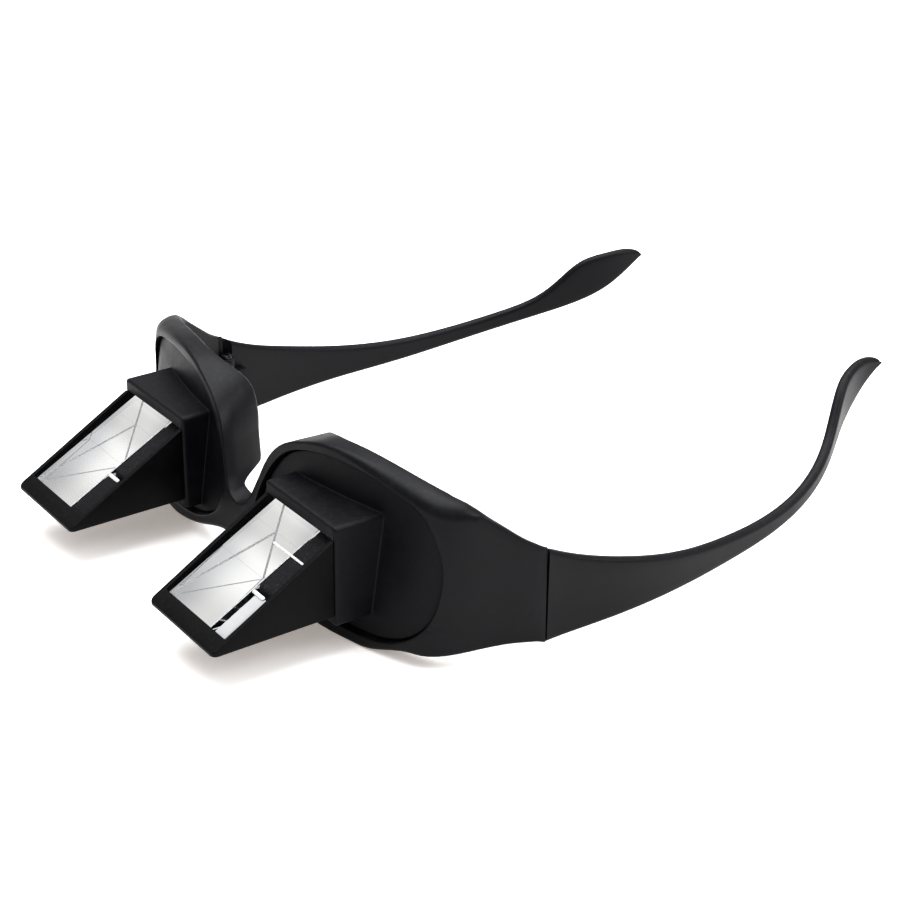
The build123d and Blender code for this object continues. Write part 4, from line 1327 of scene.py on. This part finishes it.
def foam(name, colour, fleck_colour, cell_size, fleck_share, depth):
    """Foam with its cells and flecks."""
    material, tree, shader = new_material(name, Specular_IOR_Level=0.2)
    foamed = place_group(tree, foam_cells, Colour=colour, Fleck_Colour=fleck_colour, Cell_Size=cell_size,
                         Fleck_Share=fleck_share)
    set_inputs(tree, shader, {"Base Color": foamed["Colour"]})
    drifting_roughness(tree, shader, 0.8, 0.95, 1.0)
    add_bump(tree, shader, 0.7, depth, foamed["Height"])
    return material


speckled_foam = foam("speckled_foam", (0.008, 0.008, 0.009), (0.14, 0.145, 0.15), 0.55, 0.12, 0.15)
dark_foam = foam("dark_foam", (0.006, 0.006, 0.007), (0.03, 0.03, 0.032), 0.5, 0.14, 0.12)
pale_foam = foam("pale_foam", (0.38, 0.385, 0.39), (0.3, 0.305, 0.31), 0.4, 0.1, 0.06)
white_glue = drifting_material("white_glue", (0.62, 0.62, 0.61), (0.5, 0.5, 0.495), 0.8, (0.3, 0.5, 0.7))[0]
turned_steel, tree, shader = drifting_material(
    "turned_steel", (0.03, 0.03, 0.032), (0.055, 0.055, 0.057), 0.3, (0.38, 0.52, 0.25), Metallic=1.0)
turning = add_node(tree, "TexWave", {"wave_type": "RINGS", "rings_direction": "Z"}, Vector=millimetre_places(tree),
                   Scale=2.0, Distortion=0.4)
add_bump(tree, shader, 0.15, 0.01, turning.outputs[0])
print("materials:", len(bpy.data.materials))

# %% [markdown]
# ## Seat every piece on its body
# Each finished piece rides on the frame or on one temple and stands for one solid, which is hidden and given the
# piece's first finish.

# %% Ride, replace and give the finishes
glass_finishes, silver_finishes = [polished_glass, ground_glass, eye_face_glass], [silver_coat, mirror_lacquer]
seats = [
    (front_frame_skin, "frame_body", "front_frame", "frame_plastic", [satin_black]),
    (right_temple_skin, "right_temple_body", "right_temple", "temple_plastic", [temple_black]),
    (left_temple_skin, "left_temple_body", "left_temple", "temple_plastic", [temple_black]),
    (right_housing_skin, "frame_body", "right_housing", "housing_plastic", [plate_black]),
    (left_housing_skin, "frame_body", "left_housing", "housing_plastic", [plate_black]),
    (right_hood_skin, "frame_body", "right_hood", "hood_plastic", [hood_black]),
    (left_hood_skin, "frame_body", "left_hood", "hood_plastic", [hood_black]),
    (right_prism_skin, "frame_body", "right_prism", "prism_glass", glass_finishes),
    (left_prism_skin, "frame_body", "left_prism", "prism_glass", glass_finishes),
    (right_mirror_skin, "frame_body", "right_mirror", "mirror_coat", silver_finishes),
    (left_mirror_skin, "frame_body", "left_mirror", "mirror_coat", silver_finishes),
    (right_upper_foam, "frame_body", "right_upper_spacer", "speckled_foam", [speckled_foam]),
    (left_upper_foam, "frame_body", "left_upper_spacer", "speckled_foam", [speckled_foam]),
    (right_lower_foam, "frame_body", "right_lower_spacer", "pale_foam", [pale_foam]),
    (left_lower_foam, "frame_body", "left_lower_spacer", "speckled_foam", [dark_foam]),
    (right_glue, "frame_body", "right_glue_dabs", "white_glue", [white_glue]),
    (left_glue, "frame_body", "left_glue_dab", "white_glue", [white_glue]),
    (right_bezel_skin, "frame_body", "right_bezel", "bezel_plastic", [bezel_black]),
    (left_bezel_skin, "frame_body", "left_bezel", "bezel_plastic", [bezel_black]),
    (right_screw, "frame_body", "right_hinge_screw", "screw_steel", [turned_steel]),
    (left_screw, "frame_body", "left_hinge_screw", "screw_steel", [turned_steel]),
]
for piece, body, node, finish, materials in seats:
    indices = [face.material_index for face in piece.data.polygons]
    piece.data.materials.clear()
    for material in materials:
        piece.data.materials.append(material)
    piece.data.polygons.foreach_set("material_index", [min(index, len(materials) - 1) for index in indices])
    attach(piece, body)
    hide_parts(node)
    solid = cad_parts[node]
    solid.data.materials.clear()
    solid.data.materials.append(materials[0])
print("pieces:", len(seats))

# %% [markdown]
# ## Table
# The photograph was taken on a plain white table. The table also gives a little light of its own, slightly
# warm, so that it stays pure white round the glasses and their shadows stay pale. It reaches far out, so that
# its edge does not show from low down.

# %% Table
table_half = 15.0
table_mesh = bpy.data.meshes.new("table_top")
table_mesh.from_pydata(
    [(x * table_half, y * table_half, 0) for x, y in ((-1, -1), (1, -1), (1, 1), (-1, 1))], [], [(0, 1, 2, 3)])
table_top = add_object("table_top", table_mesh)
white_table = drifting_material(
    "white_table", (0.9, 0.9, 0.9), (0.88, 0.88, 0.88), 40.0, (0.6, 0.7, 30.0), Specular_IOR_Level=0.2,
    Emission_Color=(0.27, 0.245, 0.225), Emission_Strength=1.0)[0]
table_mesh.materials.append(white_table)
table_top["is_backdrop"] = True
print("table reaches", table_half, "m each way")

# %% [markdown]
# ## Room
# The light is broad and soft and comes from above, which is why the upward faces are soft grey and the sides
# near black. The room is a simple gradient: even and neutral all round, and about twice as bright overhead.

# %% Room
room_overhead, room_around = 1.1, 0.5
world = bpy.data.worlds.new("white_room")
bpy.context.scene.world = world
world.use_nodes = True
tree = world.node_tree
up = add_node(tree, "SeparateXYZ", Vector=tree.nodes.new("ShaderNodeTexCoord").outputs["Generated"]).outputs["Z"]
set_inputs(tree, tree.nodes["Background"], {
    "Color": mix_colours(tree, soft_mask(tree, up, 0.0, 0.7), (0.98, 0.96, 0.97), (0.97, 0.985, 1.0)),
    "Strength": soft_mask(tree, up, 0.2, 0.95, room_around, room_overhead)})
print("room light:", room_around, "around and", room_overhead, "overhead")

# %% [markdown]
# ## Soft lights
# A wide light above gives the gentle shadows under the frame, and a weaker one from behind and the side draws
# the highlights along the rims and temples. The picture is kept plain, with a little more contrast.

# %% Soft lights
def soft_light(name, stands, towards, size, power):
    """A rectangular light that looks at a point."""
    data = bpy.data.lights.new(name, "AREA")
    data.shape, data.energy = "RECTANGLE", power
    data.size, data.size_y = size
    light = add_object(name, data)
    light.location = stands
    light.rotation_euler = (Vector(towards) - Vector(stands)).to_track_quat("-Z", "Y").to_euler()
    return light


lights = [soft_light("top_light", (-0.15, 0.05, 0.85), (0, 0, 0), (1.0, 1.0), 12.0),
          soft_light("side_light", (0.6, 0.5, 0.6), (0, 0, 0.02), (0.5, 0.4), 4.0)]
view = bpy.context.scene.view_settings
view.view_transform, view.look = "Standard", "Medium High Contrast"
print("lights:", [light.name for light in lights])

# %% [markdown]
# ## Compare and finish
# ## Both boxes

# %% Print both boxes
visual_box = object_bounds()
for name, box in (("solid box", cad_box), ("finished box", visual_box)):
    print(name, [[round(v / MM, 2) for v in p] for p in box])
